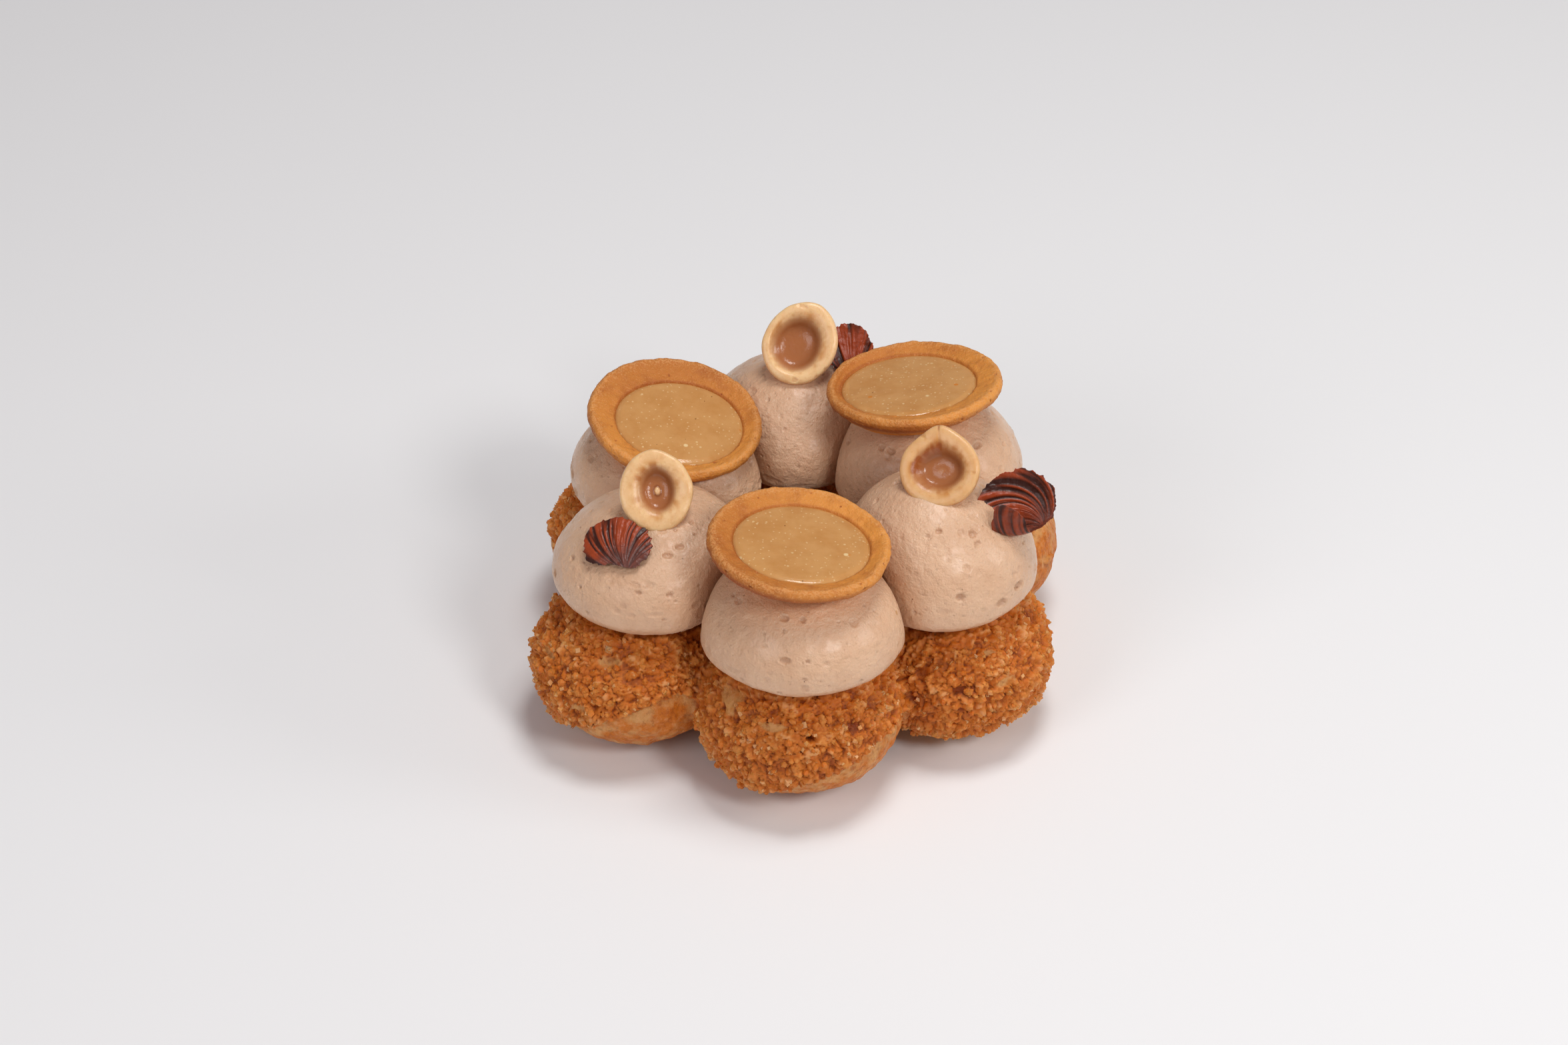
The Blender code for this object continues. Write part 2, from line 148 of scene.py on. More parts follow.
# The cavity's width, height and place are shares of the nut's. The seam, germ bead and roast run from 0 to 1;
# the germ bead is painted pale, partly as a painted highlight in the cavity.
NUTS = [
    Nut("front_right", 28.2, -16.4, 60.0, 250, 42, 14, 16.4, 15.4, 1.3,
        0.58, 0.50, 0.0, -0.02, 1.0, 0.1, 0.45),
    Nut("back", 0.4, 30.3, 58.2, 262, 40, -22, 15.6, 17.4, 0.6,
        0.62, 0.62, -0.06, -0.06, 0.3, 0.0, 0.0),
    Nut("front_left", -28.5, -18.0, 55.6, 268, 40, 8, 14.8, 16.4, 0.4,
        0.45, 0.54, 0.03, 0.02, 0.0, 1.0, 0.1),
]

FLAKES = [
    Flake("front_right", 44.6, -17.2, 50.8, 262, 35, 3, 17.8, 15.0, 4.2, 0.0, 7),
    Flake("back", 10.9, 34.9, 52.6, 275, 40, 10, 11.4, 12.8, 2.0, 1.0, 12),
    Flake("front_left", -36.5, -27.0, 48.5, 240, 56, 18, 17.4, 13.0, -2.4, 0.0, 3),
]

# How each flake is torn: the foot that its stripes fan out from, and how much is folded up at the bottom
FANS = {
    "front_right": Fan(5.0, -3.5, -0.09, 0.075, 0.8, -4.4, 10.0),
    "back": Fan(-1.0, -7.5, 0.0, 0.07, 0.4, None, 0.0),
    "front_left": Fan(3.0, -5.0, 0.03, 0.055, 1.5, None, 0.0),
}

# Marks in the crust lie within this many degrees of where a puff faces out, and between these heights
MARK_SPREAD = 75
PATCH_HEIGHTS = (16.0, 28.0)
POCKET_HEIGHTS = (14.0, 27.0)
PATCH_SEED = 90
POCKET_SEED = 96


def linear(code):
    """Linear light for an sRGB hex colour, with full cover."""
    parts = [int(code[i : i + 2], 16) / 255 for i in (1, 3, 5)]
    return (*(p / 12.92 if p <= 0.04045 else ((p + 0.055) / 1.055) ** 2.4 for p in parts), 1.0)


def length(name, description, millimetres):
    """A length, given in millimetres."""
    return bpy.props.FloatProperty(
        name=name, description=description, default=millimetres * MM, min=0.0, unit="LENGTH", precision=5
    )


def count(name, description, default):
    return bpy.props.IntProperty(name=name, description=description, default=default, min=0)


def colour(name, description, code):
    return bpy.props.FloatVectorProperty(
        name=name, description=description, default=linear(code), size=4, min=0, max=1, subtype="COLOR"
    )


class ChouxSettings(bpy.types.PropertyGroup):
    """The baked ring."""

    mesh_step: length("Mesh step", "Width of the crust's mesh faces", 0.38)
    plate_size: length("Plate size", "Width of the plates the crust cracks into", 4.2)
    crumb_size: length("Crumb size", "Width of a typical crust crumb", 2.1)
    grit_size: length("Grit size", "Width of the finest crumbs in the crust itself", 0.95)
    crust_depth: length("Crust depth", "How far the crust stands over the bare choux", 1.1)
    loose_crumbs: count("Loose crumbs", "Angular crumbs stuck on the crust", 4800)
    sugar_grains: count("Sugar grains", "Clear grains of brown sugar stuck on the crust", 1100)
    patches: count("Torn patches", "Places on each puff where the crust tore and pale choux shows", 3)
    pockets: count("Pockets", "Places on each puff where crust fell away or a plate lifted", 2)
    # crevice colour: burnt sugar, and also painted shade in the gaps between crumbs and in pockets
    crevice: colour("Crevice", "Sugar burnt darkest in the gaps between crumbs", "#8a3a0a")
    body: colour("Crust", "Baked butter, flour and sugar", "#c86c1c")
    crest: colour("Crest", "Crumb tops", "#de9449")
    sugar: colour("Sugar", "Grains of brown sugar that stayed whole", "#dea470")
    pale: colour("Pale choux", "Choux that opened late, where the crust tore", "#cf9658")
    golden: colour("Golden choux", "Choux browned on the tray", "#c8701c")


class CreamSettings(bpy.types.PropertyGroup):
    """The piped praline cream."""

    segments: count("Segments", "Mesh columns round a dome", 380)
    pits: count("Air pits", "Burst bubbles in each dome", 170)
    bubbles: count("Bubbles", "Bubbles in each dome large enough to be seen one by one", 16)
    smears: count("Smears", "Long flat marks low on each dome", 12)
    body: colour("Cream", "Butter, custard and hazelnut praline", "#e0b896")
    shade: colour("Denser cream", "Streaks with more praline", "#d2a480")
    # Painted shade on the floors of burst bubbles and pores, not a cream of its own
    deep: colour("Pit floor", "Cream seen inside a burst bubble", "#ba8a6a")
    speck: colour("Nut speck", "Ground hazelnut skin", "#6e4430")
    fleck: colour("Nut fleck", "Ground toasted hazelnut", "#c08a50")


class TartletSettings(bpy.types.PropertyGroup):
    """The biscuit shells."""

    segments: count("Segments", "Mesh columns round a shell", 300)
    grain: length("Grain", "Width of the flour and almond grains", 0.45)
    body: colour("Biscuit", "Shortcrust baked golden", "#e49742")
    # Also painted shade in the holes and in the crease where the filling meets the shell
    brown: colour("Browned biscuit", "Edges and folds that caught more heat", "#9c4c18")
    flour: colour("Grain", "Pale grains of flour and almond", "#e2a566")


class PralineSettings(bpy.types.PropertyGroup):
    """The filling of the tartlets."""

    body: colour("Praline", "Caramel ground with hazelnuts", "#cd985c")
    deep: colour("Deeper praline", "Where the layer is thicker", "#c08648")
    pale_nut: colour("Pale nut", "Ground blanched hazelnut", "#ecd3a0")
    toast_nut: colour("Toasted nut", "Bits of caramel", "#cf7a22")
    skin_bit: colour("Skin bit", "Bits of hazelnut skin", "#5e3418")


class NutSettings(bpy.types.PropertyGroup):
    """The half hazelnuts."""

    flesh: colour("Flesh", "Roasted hazelnut, cut", "#f1cb98")
    toasted: colour("Toasted", "Flesh browned by roasting", "#d0904c")
    scorched: colour("Scorched", "Streaks burnt brown round the cavity", "#9a4c16")
    hollow: colour("Hollow", "Oily brown lining of the cavity", "#ad6d42")
    # Painted shadow in the cavity, darkest to its upper right, and a dark ring round the germ
    hollow_shadow: colour("Hollow's edge", "Darkest part of the lining", "#92552f")


class SkinSettings(bpy.types.PropertyGroup):
    """The flakes of hazelnut skin."""

    body: colour("Skin", "Roasted papery skin", "#a0411d")
    vein: colour("Vein", "Dark veins that run from the nut's base", "#3b170c")
    # Grey painted sheen, standing in for light off the skin
    rub: colour("Rubbed skin", "Grey bloom where the skin was rubbed", "#5c3a34")


class StageSettings(bpy.types.PropertyGroup):
    """Floor, lights and camera."""

    floor: colour("Floor", "Plain pale floor", "#f1f2f3")
    elevation: bpy.props.FloatProperty(
        name="Camera elevation", description="Above the horizon", default=math.radians(37), subtype="ANGLE"
    )
    distance: length("Camera distance", "From the middle of the view", 900)
    lens: bpy.props.FloatProperty(name="Lens", description="Focal length", default=100.0, unit="CAMERA")


SETTINGS = {
    "choux": ChouxSettings,
    "cream": CreamSettings,
    "tartlet": TartletSettings,
    "praline": PralineSettings,
    "nut": NutSettings,
    "skin": SkinSettings,
    "stage": StageSettings,
}


# Random fields


def scatter(cell, seed):
    """A number from 0 to 1 for each whole-numbered cell, the same on every run."""
    x, y, z = (cell[..., i].astype(np.int64) for i in range(3))
    mixed = (x * 73856093 ^ y * 19349663 ^ z * 83492791 ^ seed * 2654435761) & 0xFFFFFFFF
    for _ in range(2):
        mixed = ((mixed >> 16 ^ mixed) * 0x45D9F3B) & 0xFFFFFFFF
    return (mixed >> 16 ^ mixed) / 0xFFFFFFFF


def swell(points, size, seed):
    """Smooth noise from -1 to 1 whose bumps are about size across."""
    scaled = np.asarray(points) / size
    base = np.floor(scaled)
    part = scaled - base
    fade = part * part * part * (part * (part * 6 - 15) + 10)
    total = np.zeros(scaled.shape[:-1])
    for corner in itertools.product((0, 1), repeat=3):
        share = np.prod(np.where(corner, fade, 1 - fade), axis=-1)
        total += share * scatter(base + corner, seed)
    return 2 * total - 1


def rough(points, size, seed):
    """Swells at three sizes, from -1 to 1."""
    parts = [swell(points, size / 2**i, seed + i) / 2**i for i in range(3)]
    return sum(parts) / 1.75


def crumbs(points, size, seed):
    """Breaks space into crumbs: each point's crumb number, place from its centre and gap to the next."""
    scaled = points / size
    base = np.floor(scaled)
    nearest = np.full(len(points), 9.0)
    second = np.full(len(points), 9.0)
    own = np.zeros(len(points))
    place = np.zeros((len(points), 3))
    for step in itertools.product((-1, 0, 1), repeat=3):
        cell = base + step
        centre = cell + np.stack([scatter(cell, seed + axis) for axis in range(3)], -1)
        away = scaled - centre
        distance = np.linalg.norm(away, axis=1)
        closer = distance < nearest
        second = np.where(closer, nearest, np.minimum(second, distance))
        own = np.where(closer, scatter(cell, seed + 3), own)
        place[closer] = away[closer]
        nearest = np.minimum(nearest, distance)
    return own, place, second - nearest


def tilted(own, place):
    """Height of a crumb's own slanting top."""
    turn = own[:, None] * np.array([37.0, 71.0, 113.0])
    return np.sum(place * np.cos(math.tau * turn), axis=1)


def round_angles(segments):
    """Even steps once round, in radians."""
    return np.linspace(0, math.tau, segments, endpoint=False)


def on_circle(angles, seed):
    """Places on a unit circle at a height of its own, so that noise over them closes on itself."""
    return np.stack([np.cos(angles), np.sin(angles), np.full(len(angles), seed)], -1)


def bell(values, middle, width):
    """1 where a value is middle, falling off to both sides."""
    return np.exp(-(((values - middle) / width) ** 2))


def step_up(values, low, high):
    """0 below low, 1 above high, smooth between."""
    part = np.clip((values - low) / (high - low), 0, 1)
    return part * part * (3 - 2 * part)


# Meshes


def closed_grid(rows, first_pole, last_pole):
    """Points and faces of a closed body from rings of points and a pole at each end."""
    levels, steps = rows.shape[:2]
    points = np.vstack([rows.reshape(-1, 3), first_pole, last_pole])
    index = np.arange(levels * steps).reshape(levels, steps)
    after = np.roll(index, -1, axis=1)
    quads = np.stack([index[:-1], index[1:], after[1:], after[:-1]], -1).reshape(-1, 4)
    top, bottom = levels * steps, levels * steps + 1
    caps = [(top, a, b) for a, b in zip(index[0].tolist(), after[0].tolist())]
    caps += [(bottom, b, a) for a, b in zip(index[-1].tolist(), after[-1].tolist())]
    return points, quads.tolist() + caps


def mesh_of(name, points, faces):
    mesh = bpy.data.meshes.new(name)
    mesh.from_pydata(np.asarray(points).tolist(), [], faces)
    mesh.update()
    return mesh


def points_of(mesh):
    points = np.empty(len(mesh.vertices) * 3)
    mesh.vertices.foreach_get("co", points)
    return points.reshape(-1, 3)


def normals_of(mesh):
    normals = np.empty(len(mesh.vertices) * 3)
    mesh.vertex_normals.foreach_get("vector", normals)
    return normals.reshape(-1, 3)


def move_points(mesh, points):
    mesh.vertices.foreach_set("co", np.asarray(points, np.float32).ravel())
    mesh.update()


def paint(mesh, **layers):
    """Keeps a number for each vertex under each name, for the material to read."""
    for name, values in layers.items():
        layer = mesh.attributes.new(name, "FLOAT", "POINT")
        layer.data.foreach_set("value", np.asarray(values, np.float32))


def body_of(name, mesh, finish, node, stands_for_node=True):
    """Turns a mesh in millimetres into a piece in metres that stands for its node, or lies on it."""
    mesh.transform(Matrix.Scale(MM, 4) @ Matrix.Translation((-BOX_MIDDLE_X, 0, 0)))
    mesh.materials.append(finish)
    piece = bpy.data.objects.new(name, mesh)
    bpy.context.scene.collection.objects.link(piece)
    if stands_for_node:
        mesh.shade_smooth()
        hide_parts(node)
    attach(piece, "root")
    return piece


def at_bearing(bearing, reach, z=0.0):
    angle = math.radians(bearing)
    return np.array([reach * math.cos(angle), reach * math.sin(angle), z])


def facing(x, y, z, bearing, rise, roll):
    """Matrix that puts local +Z along a direction, local +Y as near upright as it can be, then rolls."""
    angle, lift = math.radians(bearing), math.radians(rise)
    out = Vector((math.cos(angle) * math.cos(lift), math.sin(angle) * math.cos(lift), math.sin(lift)))
    right = Vector((0, 0, 1)).cross(out).normalized()
    turn = Matrix((right, out.cross(right), out)).transposed().to_4x4()
    return Matrix.Translation((x, y, z)) @ turn @ Matrix.Rotation(math.radians(roll), 4, "Z")


def tartlet_place(tartlet):
    axis = Vector(at_bearing(tartlet.tilt_bearing + 90, 1.0))
    tilt = Matrix.Rotation(math.radians(tartlet.tilt), 4, axis)
    return Matrix.Translation((tartlet.x, tartlet.y, tartlet.z)) @ tilt


def rounded(corners, steps):
    """A smooth curve of points through a turned profile's corners."""
    corners = np.array(corners, float)
    ends = np.vstack([2 * corners[0] - corners[1], corners, 2 * corners[-1] - corners[-2]])
    along = np.linspace(0, len(corners) - 1, steps)
    first = np.minimum(along.astype(int), len(corners) - 2)
    t = (along - first)[:, None]
    a, b, c, d = (ends[first + i] for i in range(4))
    curve = 2 * b + (c - a) * t + (2 * a - 5 * b + 4 * c - d) * t**2 + (3 * b - a - 3 * c + d) * t**3
    return curve / 2


# Materials

FACTOR, FIRST, SECOND, MIXED = 0, 6, 7, 2  # a colour Mix node's sockets


def feed(tree, node, inputs):
    """Sets a node's inputs. Each is a value, or the socket that feeds it."""
    for key, value in inputs.items():
        if isinstance(value, bpy.types.NodeSocket):
            tree.links.new(value, node.inputs[key])
        else:
            node.inputs[key].default_value = value


def add(tree, kind, inputs, **settings):
    """Adds a shader node with its settings, inputs and links."""
    made = tree.nodes.new("ShaderNode" + kind)
    for key, value in settings.items():
        setattr(made, key, value)
    feed(tree, made, inputs)
    return made


def lit_inside(weight, depth, tint, ior, specular):
    """Surface values of a food that light goes into: how much, how deep in metres, and in which colour."""
    return {
        "Subsurface Weight": weight,
        "Subsurface Scale": depth,
        "Subsurface Radius": tint,
        "IOR": ior,
        "Specular IOR Level": specular,
    }


def new_finish(name, surface):
    """A material, its nodes and its shader, with the surface values that are the same all over it."""
    finish = bpy.data.materials.new(name)
    finish.use_nodes = True
    shader = finish.node_tree.nodes["Principled BSDF"]
    feed(finish.node_tree, shader, surface)
    return finish, finish.node_tree, shader


def painted(tree, *names):
    """The numbers that paint() kept on the mesh under these names."""
    return [add(tree, "Attribute", {}, attribute_name=name).outputs["Fac"] for name in names]


def layered(tree, tone, layers):
    """Lays colours over a tone, each as far as its own pattern has risen from low to high."""
    for pattern, low, high, share, over in layers:
        mask = add(tree, "MapRange", {"Value": pattern, "From Min": low, "From Max": high, "To Max": share})
        mixed = add(tree, "Mix", {FACTOR: mask.outputs[0], FIRST: tone, SECOND: over}, data_type="RGBA")
        tone = mixed.outputs[MIXED]
    return tone


def ground_bits(tree, where, spacing, radius, share, lot):
    """A pattern of bits ground into a paste: some of the cells, drawn by lot, hold one of this radius."""
    cells = add(tree, "TexVoronoi", {"Vector": where, "Scale": 1 / spacing})
    ramp = {"From Min": radius / spacing, "From Max": 0.6 * radius / spacing}
    inside = add(tree, "MapRange", {"Value": cells.outputs["Distance"], **ramp})
    lots = add(tree, "SeparateColor", {"Color": cells.outputs["Color"]})
    drawn = add(tree, "Math", {0: lots.outputs[lot], 1: share}, operation="LESS_THAN")
    return add(tree, "Math", {0: inside.outputs[0], 1: drawn.outputs[0]}, operation="MULTIPLY").outputs[0]


def craquelin_finish(choux):
    """Craquelin over choux: a sheet of butter, flour and brown sugar that cracked as the choux rose.

    The eye sees dull toasted crumbs, darker in the gaps, with some light going into the sugar, and plain
    pale to golden choux where the crust ends.
    """
    surface = lit_inside(0.28, 0.0015, (1.0, 0.42, 0.12), 1.45, 0.35)
    finish, tree, shader = new_finish("craquelin_baked", surface)
    where = add(tree, "TexCoord", {}).outputs["Object"]
    height, toast, sugar, bare, gold = painted(tree, "height", "toast", "sugar", "bare", "gold")
    # 0.35 mm flour grain, drawn coarser than the real 0.1 mm so that it shows
    grain = add(tree, "TexNoise", {"Vector": where, "Scale": 1 / 0.00035, "Detail": 3.0, "Roughness": 0.6})
    fine = grain.outputs["Fac"]
    blotch = add(tree, "TexNoise", {"Vector": where, "Scale": 1 / 0.0035, "Detail": 4.0, "Roughness": 0.62})
    patchy = blotch.outputs["Fac"]
    # Low crust is painted in the crevice colour: burnt sugar plus painted shade in the gaps between crumbs
    crust = layered(tree, choux.crevice, [
        (height, 0.0, 0.34, 1.0, choux.body),
        (height, 0.52, 1.0, 0.75, choux.crest),
        (toast, 0.45, 0.0, 0.25, choux.crevice),
        (toast, 0.55, 1.0, 0.35, choux.crest),
        (patchy, 0.52, 0.72, 0.35, choux.crest),
        (patchy, 0.44, 0.28, 0.2, choux.crevice),
        (sugar, 0.0, 1.0, 0.5, choux.sugar),
        (fine, 0.55, 0.75, 0.2, choux.crest),
    ])
    uneven = {"From Min": 0.38, "From Max": 0.62, "To Min": -0.4, "To Max": 0.8}
    browned = add(tree, "MapRange", {"Value": patchy, **uneven})
    heat = add(tree, "Math", {0: gold, 1: browned.outputs[0]}, operation="ADD", use_clamp=True)
    crinkle = add(tree, "TexNoise", {"Vector": where, "Scale": 1 / 0.0012, "Detail": 4.0, "Roughness": 0.65})
    plain = layered(tree, choux.pale, [
        (heat.outputs[0], 0.0, 1.0, 1.0, choux.golden),
        (crinkle.outputs["Fac"], 0.50, 0.66, 0.5, choux.crevice),
        (crinkle.outputs["Fac"], 0.46, 0.30, 0.5, choux.sugar),
    ])
    tone = layered(tree, crust, [(bare, 0.0, 1.0, 1.0, plain)])
    dulled = {"From Min": 0.3, "From Max": 0.7, "To Min": 0.32, "To Max": 0.7}
    gloss = add(tree, "MapRange", {"Value": fine, **dulled})
    bump = add(tree, "Bump", {"Height": fine, "Distance": 0.00015, "Strength": 0.7})
    feed(tree, shader, {"Base Color": tone, "Roughness": gloss.outputs[0], "Normal": bump.outputs["Normal"]})
    return finish


def sugar_finish(choux):
    """Brown sugar: coarse grains that stayed whole in the oven.

    The eye sees small glassy tan blocks that the light goes into, with bright corners.
    """
    surface = lit_inside(0.5, 0.0015, (1.0, 0.6, 0.3), 1.54, 0.5)
    finish, tree, shader = new_finish("brown_sugar_grains", surface)
    where = add(tree, "TexCoord", {}).outputs["Object"]
    (toast,) = painted(tree, "toast")
    cloud = add(tree, "TexNoise", {"Vector": where, "Scale": 1 / 0.0006, "Detail": 3.0})
    tone = layered(tree, choux.sugar, [
        (toast, 0.25, 0.85, 0.85, choux.crest),
        (cloud.outputs["Fac"], 0.45, 0.7, 0.5, choux.crest),
    ])
    gloss = add(tree, "MapRange", {"Value": cloud.outputs["Fac"], "To Min": 0.2, "To Max": 0.55})
    feed(tree, shader, {"Base Color": tone, "Roughness": gloss.outputs[0]})
    return finish


def cream_finish(cream):
    """Praline mousseline: whipped butter and custard with ground hazelnut, piped and set cold.

    The eye sees satin fat with a soft broken highlight, light that goes a little way in, tiny burst
    bubbles and nut specks.
    """
    satin_coat = {"Coat Weight": 0.35, "Coat Roughness": 0.25}
    surface = {**lit_inside(0.22, 0.0012, (1.0, 0.66, 0.48), 1.45, 0.5), **satin_coat}
    finish, tree, shader = new_finish("mousseline_piped", surface)
    where = add(tree, "TexCoord", {}).outputs["Object"]
    (pit,) = painted(tree, "pit")
    cloud = add(tree, "TexNoise", {"Vector": where, "Scale": 1 / 0.007, "Detail": 4.0, "Roughness": 0.6})
    pores = ground_bits(tree, where, 0.0021, 0.00026, 0.4, "Blue")
    # whipped cream's bubbles are finer than 0.1 mm, and are drawn at 0.5 mm so that they show
    froth = add(tree, "TexNoise", {"Vector": where, "Scale": 1 / 0.0005, "Detail": 3.0, "Roughness": 0.6})
    tone = layered(tree, cream.body, [
        (cloud.outputs["Fac"], 0.42, 0.7, 0.6, cream.shade),
        (froth.outputs["Fac"], 0.5, 0.75, 0.25, cream.shade),
        # Pits and pores are painted darker: painted shade inside them
        (pit, 0.2, 1.0, 0.45, cream.deep),
        (pores, 0.0, 1.0, 0.3, cream.deep),
        (ground_bits(tree, where, 0.0062, 0.0006, 0.08, "Red"), 0.0, 1.0, 0.75, cream.fleck),
        (ground_bits(tree, where, 0.0031, 0.00018, 0.14, "Green"), 0.0, 1.0, 0.9, cream.speck),
    ])
    satin = {"From Min": 0.3, "From Max": 0.7, "To Min": 0.24, "To Max": 0.42}
    gloss = add(tree, "MapRange", {"Value": cloud.outputs["Fac"], **satin})
    ripple = add(tree, "TexNoise", {"Vector": where, "Scale": 1 / 0.0017, "Detail": 4.0, "Roughness": 0.6})
    waves = add(tree, "Bump", {"Height": ripple.outputs["Fac"], "Distance": 0.0007, "Strength": 0.8})
    sunk = add(tree, "Math", {0: froth.outputs["Fac"], 1: pores}, operation="SUBTRACT")
    over_waves = {"Distance": 0.0003, "Strength": 0.6, "Normal": waves.outputs["Normal"]}
    bump = add(tree, "Bump", {"Height": sunk.outputs[0], **over_waves})
    feed(tree, shader, {"Base Color": tone, "Roughness": gloss.outputs[0], "Normal": bump.outputs["Normal"]})
    return finish


def biscuit_finish(tartlet):
    """Shortcrust, pressed into a round tin and baked golden.

    The eye sees a dry sandy surface with pale grains, browner where the rim caught the heat, with painted
    shade in the holes and in the crease at the filling.
    """
    surface = {**lit_inside(0.1, 0.001, (1.0, 0.5, 0.2), 1.45, 0.4), "Roughness": 0.55}
    finish, tree, shader = new_finish("shortcrust_baked", surface)
    where = add(tree, "TexCoord", {}).outputs["Object"]
    brown, frost = painted(tree, "brown", "frost")
    blotch = add(tree, "TexNoise", {"Vector": where, "Scale": 1 / 0.0045, "Detail": 4.0, "Roughness": 0.6})
    grains = 1 / tartlet.grain
    sand = add(tree, "TexNoise", {"Vector": where, "Scale": grains, "Detail": 2.0, "Roughness": 0.7})
    flour = add(tree, "Math", {0: sand.outputs["Fac"], 1: frost}, operation="MULTIPLY")
    tone = layered(tree, tartlet.body, [
        (blotch.outputs["Fac"], 0.48, 0.72, 0.5, tartlet.brown),
        (brown, 0.0, 1.0, 1.0, tartlet.brown),
        (flour.outputs[0], 0.44, 0.64, 0.55, tartlet.flour),
        (ground_bits(tree, where, 0.0034, 0.0003, 0.2, "Green"), 0.0, 1.0, 0.8, tartlet.brown),
    ])
    bump = add(tree, "Bump", {"Height": sand.outputs["Fac"], "Distance": 0.0003, "Strength": 0.8})
    feed(tree, shader, {"Base Color": tone, "Normal": bump.outputs["Normal"]})
    return finish


def praline_finish(praline):
    """Praline: caramel and roasted hazelnuts ground to a runny paste and poured.

    The eye sees a wet gloss over an olive-amber body with pale nut, toasted bits and a little skin.
    """
    surface = {**lit_inside(0.2, 0.0018, (1.0, 0.6, 0.28), 1.47, 0.5), "Roughness": 0.17}
    finish, tree, shader = new_finish("praline_ground", surface)
    where = add(tree, "TexCoord", {}).outputs["Object"]
    cloud = add(tree, "TexNoise", {"Vector": where, "Scale": 1 / 0.006, "Detail": 4.0, "Roughness": 0.6})
    tone = layered(tree, praline.body, [
        (cloud.outputs["Fac"], 0.4, 0.66, 0.8, praline.deep),
        (ground_bits(tree, where, 0.0009, 0.00022, 0.6, "Green"), 0.0, 1.0, 0.4, praline.pale_nut),
        (ground_bits(tree, where, 0.0017, 0.0003, 0.35, "Blue"), 0.0, 1.0, 0.5, praline.pale_nut),
        (ground_bits(tree, where, 0.0044, 0.0006, 0.28, "Red"), 0.0, 1.0, 0.8, praline.toast_nut),
        (ground_bits(tree, where, 0.0036, 0.0006, 0.18, "Green"), 0.0, 1.0, 0.8, praline.pale_nut),
        (ground_bits(tree, where, 0.0027, 0.00019, 0.3, "Blue"), 0.0, 1.0, 0.85, praline.skin_bit),
    ])
    lumps = add(tree, "TexNoise", {"Vector": where, "Scale": 1 / 0.0016, "Detail": 3.0, "Roughness": 0.6})
    bump = add(tree, "Bump", {"Height": lumps.outputs["Fac"], "Distance": 0.0001, "Strength": 0.6})
    feed(tree, shader, {"Base Color": tone, "Normal": bump.outputs["Normal"]})
    return finish


def hazelnut_finish(nut):
    """Hazelnut, roasted, rubbed bare and split along its seam.

    The eye sees waxy cream flesh, browned in streaks round the cavity, and an oily brown lining in it.
    """
    surface = lit_inside(0.35, 0.0015, (1.0, 0.62, 0.32), 1.46, 0.5)
    finish, tree, shader = new_finish("hazelnut_roasted", surface)
    where = add(tree, "TexCoord", {}).outputs["Object"]
    toast, scorch, lining, edge, bead = painted(tree, "toast", "scorch", "lining", "edge", "bead")
    blotch = add(tree, "TexNoise", {"Vector": where, "Scale": 1 / 0.0026, "Detail": 4.0, "Roughness": 0.62})
    fibre = add(tree, "TexNoise", {"Vector": where, "Scale": 1 / 0.0006, "Detail": 3.0, "Roughness": 0.6})
    tone = layered(tree, nut.flesh, [
        (blotch.outputs["Fac"], 0.45, 0.7, 0.35, nut.toasted),
        (toast, 0.0, 1.0, 0.9, nut.toasted),
        (fibre.outputs["Fac"], 0.55, 0.75, 0.3, nut.toasted),
        (lining, 0.0, 1.0, 1.0, nut.hollow),
        # Painted shadow in the cavity
        (edge, 0.0, 1.0, 0.85, nut.hollow_shadow),
        (scorch, 0.1, 1.0, 0.9, nut.scorched),
        # Pale germ, partly a painted highlight in the cavity
        (bead, 0.0, 1.0, 0.8, nut.flesh),
    ])
    gloss = add(tree, "MapRange", {"Value": lining, "To Min": 0.3, "To Max": 0.18})
    bump = add(tree, "Bump", {"Height": fibre.outputs["Fac"], "Distance": 0.00009, "Strength": 0.6})
    feed(tree, shader, {"Base Color": tone, "Roughness": gloss.outputs[0], "Normal": bump.outputs["Normal"]})
    return finish


def skin_finish(skin):
    """Hazelnut skin, the papery coat that roasting loosens.

    The eye sees red-brown stripes between dark veins that fan out from the nut's base, with a painted grey
    sheen near the foot.
    """
    surface = {"Roughness": 0.33, "IOR": 1.45, "Specular IOR Level": 0.5}
    finish, tree, shader = new_finish("pellicle_roasted", surface)
    where = add(tree, "TexCoord", {}).outputs["Object"]
    stripe, rubbed = painted(tree, "stripe", "rubbed")
    sheen_patches = add(tree, "TexNoise", {"Vector": where, "Scale": 1 / 0.0022, "Detail": 4.0, "Roughness": 0.65})
    fibre = add(tree, "TexNoise", {"Vector": where, "Scale": 1 / 0.0005, "Detail": 3.0, "Roughness": 0.6})
    # Painted sheen, broken into patches
    bloom = add(tree, "Math", {0: sheen_patches.outputs["Fac"], 1: rubbed}, operation="MULTIPLY")
    tone = layered(tree, skin.vein, [
        (stripe, 0.1, 0.9, 1.0, skin.body),
        (bloom.outputs[0], 0.2, 0.5, 0.75, skin.rub),
        (fibre.outputs["Fac"], 0.55, 0.75, 0.35, skin.vein),
    ])
    bump = add(tree, "Bump", {"Height": fibre.outputs["Fac"], "Distance": 0.0001, "Strength": 0.7})
    feed(tree, shader, {"Base Color": tone, "Normal": bump.outputs["Normal"]})
    return finish


# Shapes


def puff_centre(puff):
    return at_bearing(puff.bearing, puff.reach, PUFF_HALF_HEIGHT - PUFF_SINK)


def puff_centres():
    return np.array([puff_centre(puff) for puff in PUFFS])


